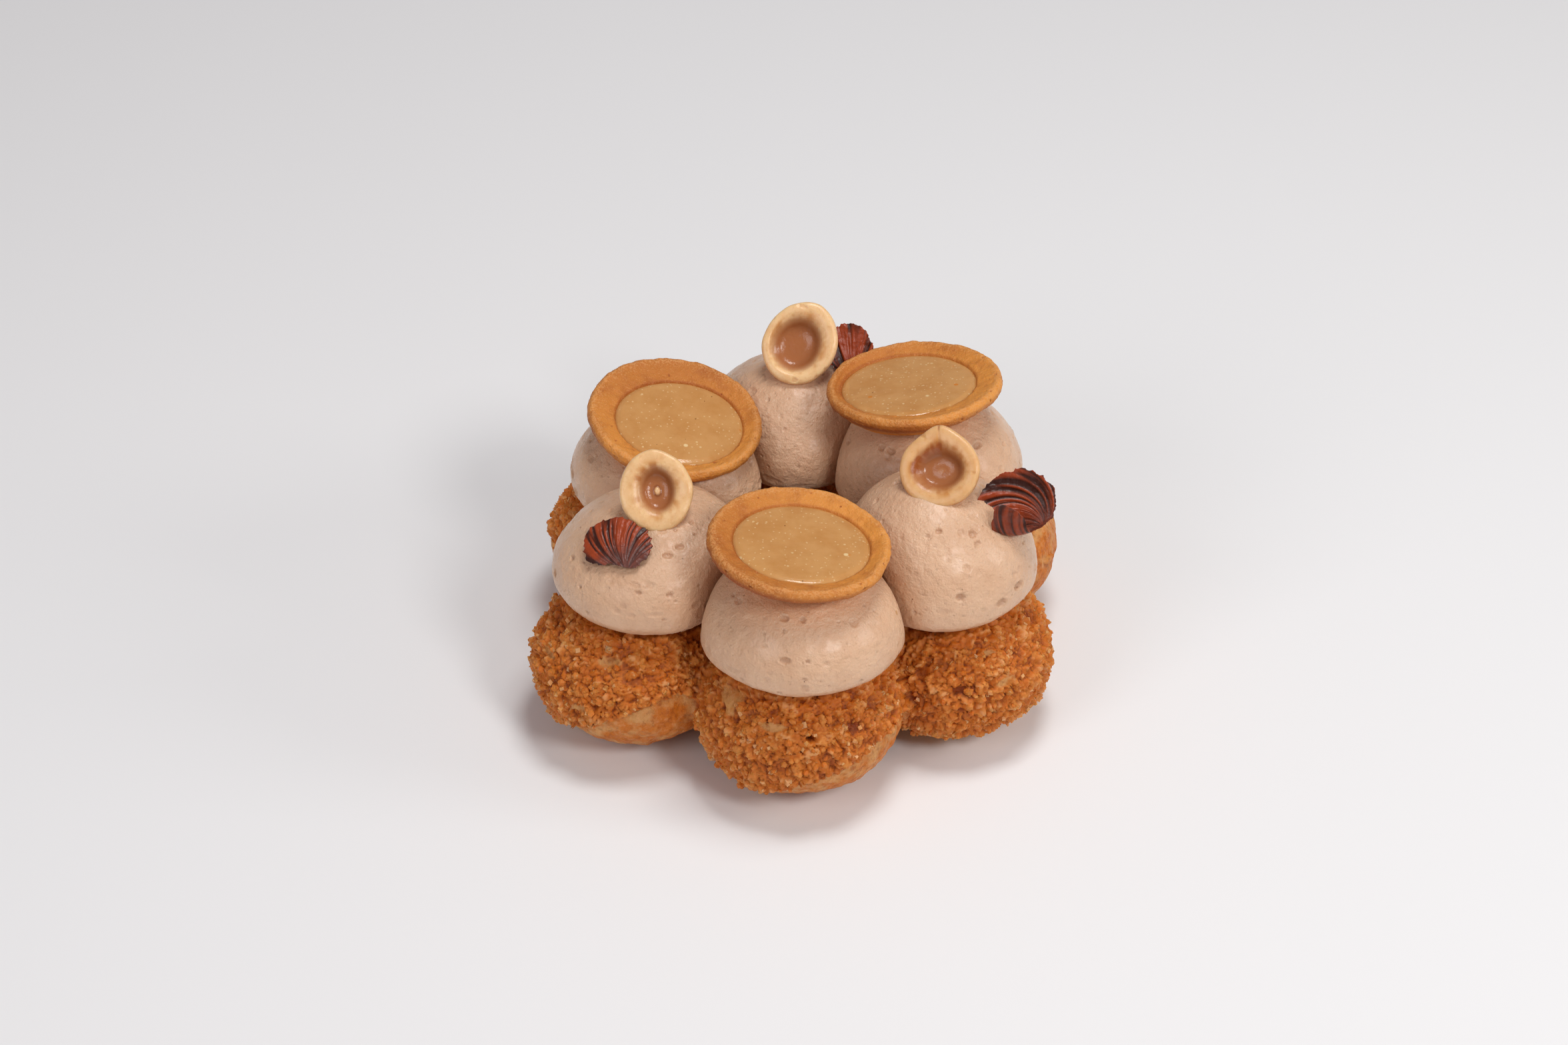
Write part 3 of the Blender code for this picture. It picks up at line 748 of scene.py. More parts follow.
def ring_top(x, y):
    """Height of the ring's smooth top over each point, 0 beside it."""
    top = np.zeros_like(x)
    for puff in PUFFS:
        centre = puff_centre(puff)
        share = np.clip(1 - ((x - centre[0]) ** 2 + (y - centre[1]) ** 2) / puff.radius**2, 0, 1)
        top = np.maximum(top, np.where(share > 0, centre[2] + PUFF_HALF_HEIGHT * np.sqrt(share), 0))
    return top


def joined_puffs(shrink, step):
    """The six smooth puffs as one closed mesh of small even faces, in millimetres."""
    turns = np.linspace(0.03, math.pi - 0.03, 60)[:, None]
    angles = round_angles(120)[None, :]
    unit = np.stack(
        [np.sin(turns) * np.cos(angles), np.sin(turns) * np.sin(angles), np.cos(turns) + 0 * angles], -1
    )
    points, faces = [], []
    for puff in PUFFS:
        size = np.array([puff.radius, puff.radius, PUFF_HALF_HEIGHT]) - shrink
        centre = puff_centre(puff)
        ball, sides = closed_grid(unit * size + centre, centre + (0, 0, size[2]), centre - (0, 0, size[2]))
        start = sum(len(part) for part in points)
        faces += [[corner + start for corner in side] for side in sides]
        points.append(ball)
    rough_mesh = mesh_of("puffs", np.vstack(points), faces)
    holder = bpy.data.objects.new("puffs", rough_mesh)
    bpy.context.scene.collection.objects.link(holder)
    remesh = holder.modifiers.new("knit", "REMESH")
    remesh.mode, remesh.voxel_size = "VOXEL", step
    soften = holder.modifiers.new("fill the joints", "SMOOTH")
    soften.factor, soften.iterations = 0.5, 6
    bpy.context.view_layer.update()
    knitted = holder.evaluated_get(bpy.context.evaluated_depsgraph_get())
    mesh = bpy.data.meshes.new_from_object(knitted)
    bpy.data.objects.remove(holder)
    return mesh


def spread_marks(per_puff, heights, chance):
    """Marks spread by chance over the outer side of every puff: whose, at what bearing, and where."""
    for index, puff in enumerate(PUFFS):
        centre = puff_centre(puff)
        for _ in range(per_puff):
            bearing = puff.bearing + chance.uniform(-MARK_SPREAD, MARK_SPREAD)
            height = chance.uniform(*heights)
            lift = (height - centre[2]) / PUFF_HALF_HEIGHT
            spot = centre + at_bearing(bearing, puff.radius * math.sqrt(1 - lift**2))
            spot[2] = height
            yield index, bearing, spot


def bare_share(points, owner, patches):
    """How far the crust is torn open at each point."""
    chance = np.random.default_rng(PATCH_SEED)
    torn = np.zeros(len(points))
    for index, bearing, spot in spread_marks(patches, PATCH_HEIGHTS, chance):
        long = chance.uniform(1.4, 4.6)
        wide = long * chance.uniform(0.3, 0.45)
        turn, slope = math.radians(bearing), math.radians(chance.uniform(-25, 25))
        away = points - spot
        sideways = -away[:, 0] * math.sin(turn) + away[:, 1] * math.cos(turn)
        upward = away[:, 2] * 1.3
        along = sideways * math.cos(slope) + upward * math.sin(slope)
        across = -sideways * math.sin(slope) + upward * math.cos(slope)
        reach = np.hypot(along / long, across / wide)
        near = (np.linalg.norm(away, axis=1) < 2.2 * long) & (owner == index)
        torn = np.maximum(torn, np.where(near, 1.25 - reach, 0))
    return torn


def pocket_depth(points, owner, pockets):
    """How far each point sinks where crust fell away, in mm. A plate that lifted counts as less than 0."""
    chance = np.random.default_rng(POCKET_SEED)
    depth = np.zeros(len(points))
    for index, _, spot in spread_marks(pockets, POCKET_HEIGHTS, chance):
        wide, sink = chance.uniform(1.2, 2.8), chance.uniform(-0.8, 1.7)
        reach = np.linalg.norm((points - spot) * (1, 1, 1.4), axis=1) / wide
        reach = reach + 0.25 * rough(points, 1.4, 95)
        depth += np.where(owner == index, sink * step_up(1.15 - reach, 0, 0.5), 0)
    return depth


def crust_relief(points, choux):
    """Height of the crust over the smooth puff in mm, with facts of the crumb at each point."""
    bent = points + 0.45 * np.stack([swell(points, 1.4, seed) for seed in (11, 12, 13)], -1)
    plate, plate_place, plate_gap = crumbs(bent, choux.plate_size / MM, 21)
    crumb, crumb_place, crumb_gap = crumbs(bent, choux.crumb_size / MM, 31)
    grit, grit_place, grit_gap = crumbs(bent, choux.grit_size / MM, 41)
    lift = 0.40 * (plate - 0.5) + 0.25 * tilted(plate, plate_place)
    lift += 0.75 * (crumb - 0.5) + 0.60 * tilted(crumb, crumb_place)
    lift -= 0.45 * bell(plate_gap, 0, 0.05) + 0.55 * bell(crumb_gap, 0, 0.09)
    lift += 0.35 * rough(points, 7.0, 51)
    missing = step_up(0.14 - crumb, 0.0, 0.01) * step_up(crumb_gap, 0.0, 0.12)
    eroded = step_up(rough(points, 2.6, 71), 0.30, 0.50)
    coarse = np.clip(lift - 0.4 * missing - 0.35 * eroded, *CRUST_LIMITS)
    fine = 0.34 * (grit - 0.5) + 0.30 * tilted(grit, grit_place) - 0.25 * bell(grit_gap, 0, 0.12)
    return coarse + fine + 0.10 * rough(points, 0.9, 61), plate, crumb, grit


def crust_edge(points, owner):
    """Height at which the crust ends on each point's puff, in its direction."""
    centres = puff_centres()
    towards = np.arctan2(*(points - centres[owner])[:, 1::-1].T)
    low, rise, bearing, power = (np.array(column)[owner] for column in list(zip(*PUFFS))[4:])
    return low + rise * ((1 + np.cos(towards - np.radians(bearing))) / 2) ** power


def build_ring(choux, finish):
    """Bakes the ring: knitted puffs, crumbled crust, and choux that shows where the crust ends or tore."""
    mesh = joined_puffs(shrink=0.8, step=choux.mesh_step / MM)
    points, normals = points_of(mesh), normals_of(mesh)
    centres = puff_centres()
    sizes = np.array([[puff.radius, puff.radius, PUFF_HALF_HEIGHT] for puff in PUFFS])
    owner = np.argmin(np.sum(((points[:, None] - centres) / sizes) ** 2, axis=2), axis=1)
    lift, plate, crumb, grit = crust_relief(points, choux)
    edge = crust_edge(points, owner) + 0.9 * rough(points * (1, 1, 0.3), 6.0, 81) + 1.1 * (crumb - 0.5)
    torn = bare_share(points, owner, choux.patches) + 0.2 * rough(points, 2.2, 91) + 0.35 * (crumb - 0.5)
    bare = np.maximum(1 - step_up(points[:, 2] - edge, -0.15, 0.25), step_up(torn, 0.35, 0.55))
    pocket = pocket_depth(points, owner, choux.pockets)
    wrinkle = 0.38 * rough(points * (1, 1, 0.6), 1.8, 101) + 0.55 * rough(points, 4.5, 102)
    inset = np.where(torn > 0.3, 0.45, 1.0) * choux.crust_depth / MM
    height = lift * (1 - bare) + (wrinkle - inset) * bare - pocket
    points = points + normals * height[:, None]
    points[:, 2] = np.maximum(points[:, 2], 0)
    move_points(mesh, points)
    # height is lowered in pockets, so they are painted darker: painted shade in the hollows
    shown = np.clip((lift + 1.25) / 2.0 - 0.5 * np.maximum(pocket, 0), 0, 1)
    toast = 0.2 * plate + 0.45 * crumb + 0.35 * grit
    sugar = step_up(grit, 0.80, 0.84) * step_up(lift, -0.3, 0.1)
    below = 0.6 * step_up(edge - points[:, 2], 0.8, 4.2)
    paint(mesh, height=shown, toast=toast, sugar=sugar, bare=bare, gold=below)
    return body_of("choux_ring_baked", mesh, finish, "choux_ring")


def crust_spots():
    """Places on the baked ring, which way they face, and how likely a loose crumb is to stick there."""
    mesh = bpy.data.objects["choux_ring_baked"].data
    height, bare = np.empty(len(mesh.vertices)), np.empty(len(mesh.vertices))
    mesh.attributes["height"].data.foreach_get("value", height)
    mesh.attributes["bare"].data.foreach_get("value", bare)
    spots = points_of(mesh) / MM + (BOX_MIDDLE_X, 0, 0)
    likely = (0.25 + height) * (bare < 0.05) * (spots[:, 2] > CRUMBLESS_HEIGHT)
    for dome in DOMES:
        axis = dome_axis(dome)
        under = np.hypot(spots[:, 0] - axis[0], spots[:, 1] - axis[1]) < COVERED_SHARE * dome.radius
        likely = likely * ~(under & (spots[:, 2] > puff_centre(PUFFS[0])[2]))
    return spots, normals_of(mesh), likely / likely.sum()


# Kinds of loose stone: half widths in mm, and how far each corner may be chipped
Kind = namedtuple("Kind", "name small large chip seed")
CRUMBS = Kind("craquelin_crumbs", 0.34, 0.98, 0.22, 5)
GRAINS = Kind("sugar_grains", 0.34, 0.74, 0.2, 6)


def stone_shape(kind):
    """Corners and faces of one stone before it is chipped: a lump for a crumb, a block for a sugar grain."""
    shape = bmesh.new()
    if kind is CRUMBS:
        bmesh.ops.create_icosphere(shape, subdivisions=1, radius=1.0)
    else:
        bmesh.ops.create_cube(shape, size=1.5)
        bmesh.ops.triangulate(shape, faces=shape.faces)
    shape.verts.index_update()
    corners = np.array([tuple(corner.co) for corner in shape.verts])
    faces = np.array([[corner.index for corner in face.verts] for face in shape.faces])
    shape.free()
    return corners, faces


def stones(kind, number_of, sizes, chance):
    """Corners round 0 and faces of many small stones, each turned, stretched and chipped its own way."""
    corners, faces = stone_shape(kind)
    turns, _ = np.linalg.qr(chance.normal(size=(number_of, 3, 3)))
    turns[:, :, 0] *= np.sign(np.linalg.det(turns))[:, None]
    stretch = chance.uniform(0.7, 1.25, (number_of, 1, 3))
    chipped = 1 + chance.uniform(-kind.chip, 0.1, (number_of, len(corners), 1))
    lumps = corners * stretch * chipped * sizes[:, None, None]
    all_faces = faces + len(corners) * np.arange(number_of)[:, None, None]
    return np.einsum("nij,nkj->nki", turns, lumps), all_faces.reshape(-1, 3).tolist()


def strew(kind, number_of, finish):
    """Presses loose stones of one kind into the crust, each a little way in, as one piece."""
    spots, facing_out, likely = crust_spots()
    chance = np.random.default_rng(kind.seed)
    chosen = chance.choice(len(spots), number_of, replace=False, p=likely)
    sizes = kind.small + (kind.large - kind.small) * chance.random(number_of) ** 1.7
    lumps, faces = stones(kind, number_of, sizes, chance)
    depth = sizes * chance.uniform(-0.9, -0.45, number_of)
    points = (lumps + (spots[chosen] + facing_out[chosen] * depth[:, None])[:, None]).reshape(-1, 3)
    points[:, 2] = np.maximum(points[:, 2], 0.02)
    mesh = mesh_of(kind.name, points, faces)
    per_stone = lumps.shape[1]
    toast = np.repeat(chance.uniform(0.2, 1.0, number_of), per_stone)
    high = np.repeat(chance.uniform(0.40, 0.80, number_of), per_stone)
    none = np.zeros(len(points))
    paint(mesh, height=high, toast=toast, sugar=none, bare=none, gold=none)
    return body_of(kind.name, mesh, finish, "choux_ring", stands_for_node=False)


def dome_axis(dome):
    return at_bearing(dome.bearing, dome.reach)


def contact_planes(dome):
    """Bearing and distance of the flat places where a dome meets its two neighbours."""
    index = DOMES.index(dome)
    planes = []
    for other in (DOMES[index - 1], DOMES[(index + 1) % len(DOMES)]):
        across = dome_axis(other) - dome_axis(dome)
        planes.append((math.atan2(across[1], across[0]), np.linalg.norm(across) / 2 - CONTACT_GAP / 2))
    return planes


def dome_rows(dome, segments):
    """Rings of points down the outside of a dome, round its turned-under edge and in under it."""
    step = math.tau * MEAN_DOME_RADIUS / segments
    upper = np.linspace(0, math.pi / 2, int(DOME_ARC_ABOVE / step))[1:]
    lower = np.radians(np.linspace(0, DOME_TURN_UNDER, int(DOME_ARC_BELOW / step)))[1:]
    share_up = np.concatenate([np.cos(upper), np.zeros(len(lower))])
    radius = dome.radius * np.concatenate([np.sin(upper) ** (2 * dome.taper), np.cos(lower)])
    height = dome.level + np.concatenate([dome.rise * np.cos(upper), -DOME_FALL * np.sin(lower)])
    angles = round_angles(segments)[None, :]
    shift = share_up[:, None] ** 2 * at_bearing(dome.lean_bearing, dome.lean)[None, :]
    total = (1 / radius[:, None]) ** CONTACT_POWER + 0 * angles
    for bearing, distance in contact_planes(dome):
        share = np.cos(angles - bearing)
        room = distance - shift[:, :1] * math.cos(bearing) - shift[:, 1:2] * math.sin(bearing)
        total += np.where(share > 0, np.maximum(share, 0) / room, 0) ** CONTACT_POWER
    reach = total ** (-1 / CONTACT_POWER)
    axis = dome_axis(dome)
    x = axis[0] + shift[:, :1] + reach * np.cos(angles)
    y = axis[1] + shift[:, 1:2] + reach * np.sin(angles)
    z = np.maximum(height[:, None] + 0 * angles, ring_top(x, y) + DOME_BED)
    inner = []
    for share in np.linspace(0.9, 0.1, DOME_UNDERSIDE_ROWS):
        near_x, near_y = axis[0] + (x[-1] - axis[0]) * share, axis[1] + (y[-1] - axis[1]) * share
        inner.append(np.stack([near_x, near_y, np.maximum(ring_top(near_x, near_y) + DOME_BED, z[-1])], -1))
    return np.concatenate([np.stack([x, y, z], -1), np.array(inner)])


def press(points, tartlet):
    """Pushes cream down to the underside of a tartlet that sits in it."""
    to_world = np.array(tartlet_place(tartlet))
    to_local = np.linalg.inv(to_world)
    local = points @ to_local[:3, :3].T + to_local[:3, 3]
    radius = np.hypot(local[:, 0], local[:, 1])
    slope = [TARTLET_BASE_RADIUS, TARTLET_BASE_RADIUS + 2.2, TARTLET_RADIUS - 0.7, TARTLET_RADIUS]
    under = [-TARTLET_HEIGHT, -TARTLET_HEIGHT + 1.0, -2.6, -1.4]
    ceiling = np.interp(radius, slope, under) + 0.15
    ceiling = np.where(radius < TARTLET_RADIUS, ceiling, 99)
    local[:, 2] = np.minimum(local[:, 2], ceiling)
    return local @ to_world[:3, :3].T + to_world[:3, 3]


def dent(points, normals, index, size, stretch, sink, depth, mask):
    """Adds one dent round a point: a bowl with a faint lip, drawn out sideways by stretch."""
    near = np.flatnonzero(np.abs(points - points[index]).max(axis=1) < size * stretch * 1.5)
    away = points[near] - points[index]
    sideways = np.cross([0, 0, 1.0], normals[index])
    sideways /= np.linalg.norm(sideways) + 1e-9
    along = away @ sideways
    across = np.sqrt(np.maximum(np.sum(away**2, axis=1) - along**2, 0))
    reach = np.hypot(along / stretch, across) / size
    bowl = np.clip(1 - reach**2, 0, 1) ** 0.5
    lip = 0.18 * bell(reach, 1.12, 0.16)
    depth[near] += sink * size * (bowl - lip)
    # mask keeps how far down the bowl goes, for the painted shade in the pit
    mask[near] = np.maximum(mask[near], bowl * min(1.0, sink / 0.8))


def build_dome(dome, cream, finish, seed):
    """Pipes one dome: soft swells, burst bubbles, and smears low down where the nozzle dragged."""
    rows = dome_rows(dome, cream.segments)
    axis = dome_axis(dome)
    tip = axis + at_bearing(dome.lean_bearing, dome.lean, dome.level + dome.rise)
    under = np.array([axis[0], axis[1], ring_top(axis[:1], axis[1:2])[0] + DOME_BED])
    points, faces = closed_grid(rows, tip, under)
    mesh = mesh_of("cream", points, faces)
    normals = normals_of(mesh)
    chance = np.random.default_rng(seed)
    outside = np.zeros(len(points))
    outside[: (len(rows) - DOME_UNDERSIDE_ROWS) * rows.shape[1]] = 1
    outside[-2] = 1
    soft = 0.30 * rough(points, 11.0, 200 + seed) + 0.12 * rough(points, 3.2, 210 + seed)
    soft += 0.06 * rough(points, 1.4, 220 + seed)
    depth, mask = np.zeros(len(points)), np.zeros(len(points))
    height = points[:, 2] - dome.level
    whole = np.flatnonzero((outside > 0) & (height > -6) & (height < 0.95 * dome.rise))
    lower = np.flatnonzero((outside > 0) & (height > -6) & (height < 5))
    for index in chance.choice(whole, cream.pits):
        size, stretch = 0.26 + 0.7 * chance.random() ** 4, 1 + 0.6 * chance.random()
        dent(points, normals, index, size, stretch, chance.choice([0.35, 0.9]), depth, mask)
    for index in chance.choice(lower, cream.smears):
        size, stretch = 0.45 + 0.4 * chance.random(), 1.5 + 2.5 * chance.random()
        dent(points, normals, index, size, stretch, 0.35, depth, mask)
    for index in chance.choice(whole, cream.bubbles):
        size, stretch = 0.45 + 0.55 * chance.random() ** 1.6, 1 + 0.9 * chance.random() ** 2
        dent(points, normals, index, size, stretch, chance.choice([0.3, 0.45, 0.9]), depth, mask)
    points = points + normals * ((soft - depth) * outside)[:, None]
    for tartlet in TARTLETS:
        points = press(points, tartlet)
    move_points(mesh, points)
    # The dents' bowls go to the material, which paints them darker: painted shade in the pits
    paint(mesh, pit=mask * outside)
    return body_of("cream_piped_" + dome.name, mesh, finish, "cream_" + dome.name)


def rim_shape(segments, seed):
    """The hand-pressed outline of one tartlet: how far each direction is out, and how high."""
    angles = round_angles(segments)
    around = on_circle(angles, seed * 3.7)
    facets = 0.006 * np.abs(np.cos(3.5 * angles + seed))
    return 1 + 0.020 * rough(around, 0.62, 300 + seed) - facets, 0.38 * rough(around, 0.8, 310 + seed)


def turned_rows(tartlet, profile, segments, seed):
    """Rings of a body turned round a tartlet's axis: the pool's outline inside, the pressed rim outside."""
    angles = round_angles(segments)
    wobble, wave = rim_shape(segments, seed)
    wide, deep = tartlet.fill_wide, tartlet.fill_deep
    pool = wide * deep / np.hypot(deep * np.cos(angles), wide * np.sin(angles))
    pool += tartlet.fill_x * np.cos(angles) + tartlet.fill_y * np.sin(angles)
    radius = profile[:, :1]
    outer = step_up(radius, PRALINE_RADIUS + 0.4, TARTLET_RADIUS - 1.4)
    reach = radius * ((1 - outer) * (pool / PRALINE_RADIUS)[None, :] + outer * wobble[None, :])
    z = profile[:, 1:] + wave[None, :] * np.clip(radius / TARTLET_RADIUS, 0, 1) ** 4
    return np.stack([reach * np.cos(angles), reach * np.sin(angles), z], -1)


def build_tartlet(tartlet, settings, finish, seed):
    """Bakes one shell: a broad lip that slopes in to the filling, and a sandy surface with a few holes."""
    corners = [
        (0.3, TARTLET_FLOOR),
        (PRALINE_RADIUS - 2.8, TARTLET_FLOOR),
        (PRALINE_RADIUS - 0.5, PRALINE_LEVEL - 1.5),
        (PRALINE_RADIUS - 0.05, PRALINE_LEVEL - 0.5),
        (PRALINE_RADIUS + 0.3, PRALINE_LEVEL + 0.05),
        (PRALINE_RADIUS + 1.2, PRALINE_LEVEL + 0.45),
        (TARTLET_RADIUS - 2.1, -0.35),
        (TARTLET_RADIUS - 1.1, 0.0),
        (TARTLET_RADIUS - 0.45, -0.2),
        (TARTLET_RADIUS - 0.05, -0.8),
        (TARTLET_RADIUS, -1.5),
        (TARTLET_RADIUS - 0.7, -2.7),
        (TARTLET_BASE_RADIUS + 2.0, -TARTLET_HEIGHT + 0.9),
        (TARTLET_BASE_RADIUS, -TARTLET_HEIGHT),
        (0.3, -TARTLET_HEIGHT),
    ]
    profile = rounded(corners, PROFILE_STEPS)
    rows = turned_rows(tartlet, profile, settings.segments, seed)
    points, faces = closed_grid(rows, (0, 0, TARTLET_FLOOR), (0, 0, -TARTLET_HEIGHT))
    mesh = mesh_of("tartlet", points, faces)
    share = np.append(np.repeat(profile[:, 0], settings.segments), [0.0, 0.0])
    sandy = 0.10 * swell(points, 0.8, 320 + seed) + 0.20 * rough(points, 2.6, 330 + seed)
    holes = step_up(rough(points, 1.2, 340 + seed), 0.60, 0.72)
    shown = step_up(share, PRALINE_RADIUS - 0.5, PRALINE_RADIUS + 0.4)
    move_points(mesh, points + normals_of(mesh) * ((sandy - 0.35 * holes) * shown)[:, None])
    level = points[:, 2]
    crease = bell(share - PRALINE_RADIUS, 0.15, 0.3) * step_up(level, -3.2, -2.2)
    outer = step_up(-level, 0.6, 2.4) * step_up(share, TARTLET_RADIUS - 3, TARTLET_RADIUS - 1)
    lip = bell(share - TARTLET_RADIUS, -0.9, 0.9) * step_up(level, -1.8, -0.6)
    edge_heat = 0.55 * step_up(rough(points, 7.0, 350 + seed), 0.05, 0.5) * step_up(share, 15.5, 17.5)
    hot = points @ at_bearing(tartlet.brown_side, 0.5 / TARTLET_RADIUS) + 0.5
    # The crease at the filling and the holes are painted browner: painted shade in them
    brown = np.clip(0.35 * crease + 0.5 * outer + (edge_heat + 0.6 * shown) * hot + 0.8 * holes, 0, 1)
    paint(mesh, brown=brown, frost=0.8 + 0.35 * lip)
    mesh.transform(tartlet_place(tartlet))
    return body_of("tartlet_baked_" + tartlet.name, mesh, finish, "tartlet_" + tartlet.name)


def build_filling(tartlet, settings, finish, seed):
    """Pours one filling: a low crowned pool with a rounded shoulder that meets the biscuit."""
    corners = [
        (0.3, FILLING_CROWN),
        (PRALINE_RADIUS * 0.5, PRALINE_LEVEL + 0.3),
        (PRALINE_RADIUS - 2.0, PRALINE_LEVEL + 0.2),
        (PRALINE_RADIUS - 0.9, PRALINE_LEVEL + 0.06),
        (PRALINE_RADIUS - 0.25, PRALINE_LEVEL - 0.2),
        (PRALINE_RADIUS + 0.02, PRALINE_LEVEL - 0.6),
        (PRALINE_RADIUS - 0.7, PRALINE_LEVEL - 1.5),
        (PRALINE_RADIUS - 3.4, FILLING_FOOT),
        (0.3, FILLING_FOOT),
    ]
    rows = turned_rows(tartlet, rounded(corners, FILLING_STEPS), settings.segments, seed)
    points, faces = closed_grid(rows, (0, 0, FILLING_CROWN), (0, 0, FILLING_FOOT))
    mesh = mesh_of("praline", points, faces)
    ripple = 0.10 * rough(points, 7.0, 400 + seed) + 0.01 * rough(points, 2.4, 410 + seed)
    shown = step_up(points[:, 2], PRALINE_LEVEL - 1.2, PRALINE_LEVEL - 0.5)
    move_points(mesh, points + normals_of(mesh) * (ripple * shown)[:, None])
    mesh.transform(tartlet_place(tartlet))
    return body_of("praline_poured_" + tartlet.name, mesh, finish, "praline_" + tartlet.name)


def build_nut(nut, finish, seed):
    """Splits one hazelnut: a rounded cut rim, chipped and scorched, round a funnel with a dome in it."""
    germ = GERM_HEIGHT * nut.bead
    corners = [
        (0.01, NUT_FLOOR + germ),
        (0.06, NUT_FLOOR + 0.8 * germ),
        (0.10, NUT_FLOOR + 0.1 * germ),
        (0.22, NUT_FLOOR),
        (0.36, -1.95),
        (0.46, -1.15),
        (0.55, -0.50),
        (0.66, -0.12),
        (0.80, 0.03),
        (0.92, -0.05),
        (0.985, -0.45),
        (1.0, -1.4),
        (0.96, -2.7),
        (0.85, -4.3),
        (0.66, -5.6),
        (0.38, -6.55),
        (0.01, NUT_BACK),
    ]
    profile = rounded(corners, PROFILE_STEPS)
    angles = round_angles(NUT_SEGMENTS)[None, :]
    share = profile[:, :1]
    front = np.arange(len(profile))[:, None] < np.argmax(profile[:, 0])
    inner = (1 - step_up(share, 0.45, 0.9)) * front
    off_point = np.arctan2(np.cos(angles), np.sin(angles))
    point = nut.point * share**2 * bell(off_point, 0, 0.38)
    across = share * np.cos(angles) * (1 + inner * (nut.wide / 0.5 - 1)) + nut.off_x * inner
    upward = share * np.sin(angles) * (1 + inner * (nut.tall / 0.5 - 1)) + nut.off_y * inner
    z = profile[:, 1:] + 0 * angles
    seam_line = bell(off_point * share, 0, 0.03) * step_up(share, 0.42, 0.55) * front * nut.seam
    rows = np.stack([across * nut.width / 2, upward * nut.length / 2 + point, z - 0.12 * seam_line], -1)
    middle = (nut.off_x * nut.width / 2, nut.off_y * nut.length / 2, NUT_FLOOR + germ)
    points, faces = closed_grid(rows, middle, (0, 0, NUT_BACK))
    mesh = mesh_of("hazelnut", points, faces)
    shares = np.append(np.repeat(profile[:, 0], NUT_SEGMENTS), [0.0, 0.0])
    turns = np.append(np.tile(angles[0], len(profile)), [0.0, 0.0])
    inside = np.append(np.repeat(front[:, 0], NUT_SEGMENTS), [True, False])
    bumps = 0.16 * swell(points, 3.6, 500 + seed) + 0.02 * rough(points, 0.9, 510 + seed)
    chips = step_up(rough(points, 2.4, 520 + seed), 0.42, 0.60) * step_up(shares, 0.76, 0.9) * inside
    lined = inside * (1 - step_up(shares, 0.40, 0.62))
    move_points(mesh, points + normals_of(mesh) * ((bumps - 0.2 * chips) * (1 - 0.6 * lined))[:, None])
    radial = np.stack([np.cos(turns) * 3.0, np.sin(turns) * 3.0, shares * 3.0 + seed], -1)
    streak = step_up(rough(radial, 0.8, 530), -0.4, 0.5)
    uneven = 0.6 + 0.4 * np.cos(turns - math.radians(150))
    ring = bell(shares, 0.56, 0.11) * inside
    scorch = ring * (0.5 + 0.5 * streak) * uneven * (0.4 + 2.6 * nut.roast)
    seam = np.append(np.ravel(seam_line + 0 * angles), [0.0, 0.0])
    glow = bell(shares, 0.62, 0.14) * inside * streak
    toast = np.clip(0.8 * glow + 0.4 * (~inside) + 0.3 * chips + nut.roast, 0, 1)
    brown_tip = seam * (0.05 + 0.75 * step_up(shares, 0.82, 0.93))
    # Painted shadow in the cavity, darkest towards its upper right, and a dark ring round the germ
    edge = inside * bell(shares, 0.42, 0.12) * (0.45 + 0.45 * np.cos(turns - 0.6))
    edge += inside * bell(shares, 0.115, 0.025) * nut.bead
    # The germ is painted pale: its own flesh, and a painted highlight in the middle of the cavity
    bead = inside * (1 - step_up(shares, 0.07, 0.10)) * nut.bead
    paint(mesh, toast=toast, scorch=np.clip(scorch + brown_tip, 0, 1), lining=lined, edge=edge, bead=bead)
    mesh.transform(facing(*nut[1:7]))
    return body_of("hazelnut_split_" + nut.name, mesh, finish, "hazelnut_" + nut.name)


def torn_outline(flake, tail, angles):
    """How far a flake reaches in each direction: a fan, narrow at its foot, torn into lobes and teeth."""
    oval = 1 / np.hypot(2 * np.cos(angles) / flake.width, 2 * np.sin(angles) / flake.height)
    from_bottom = angles - 1.5 * math.pi
    fan = 0.88 + 0.14 * np.sin(angles) - 0.13 * bell(from_bottom, 0, 0.5)
    around = on_circle(angles, 0.37 * flake.seed)
    lobes = 1 + 0.15 * rough(around, 0.8, 620)
    teeth = 0.9 * np.abs(rough(around, 0.22, 630)) + 0.25 * np.abs(rough(around, 0.07, 660))
    return oval * fan * lobes + tail * bell(from_bottom, -0.17, 0.42) - teeth


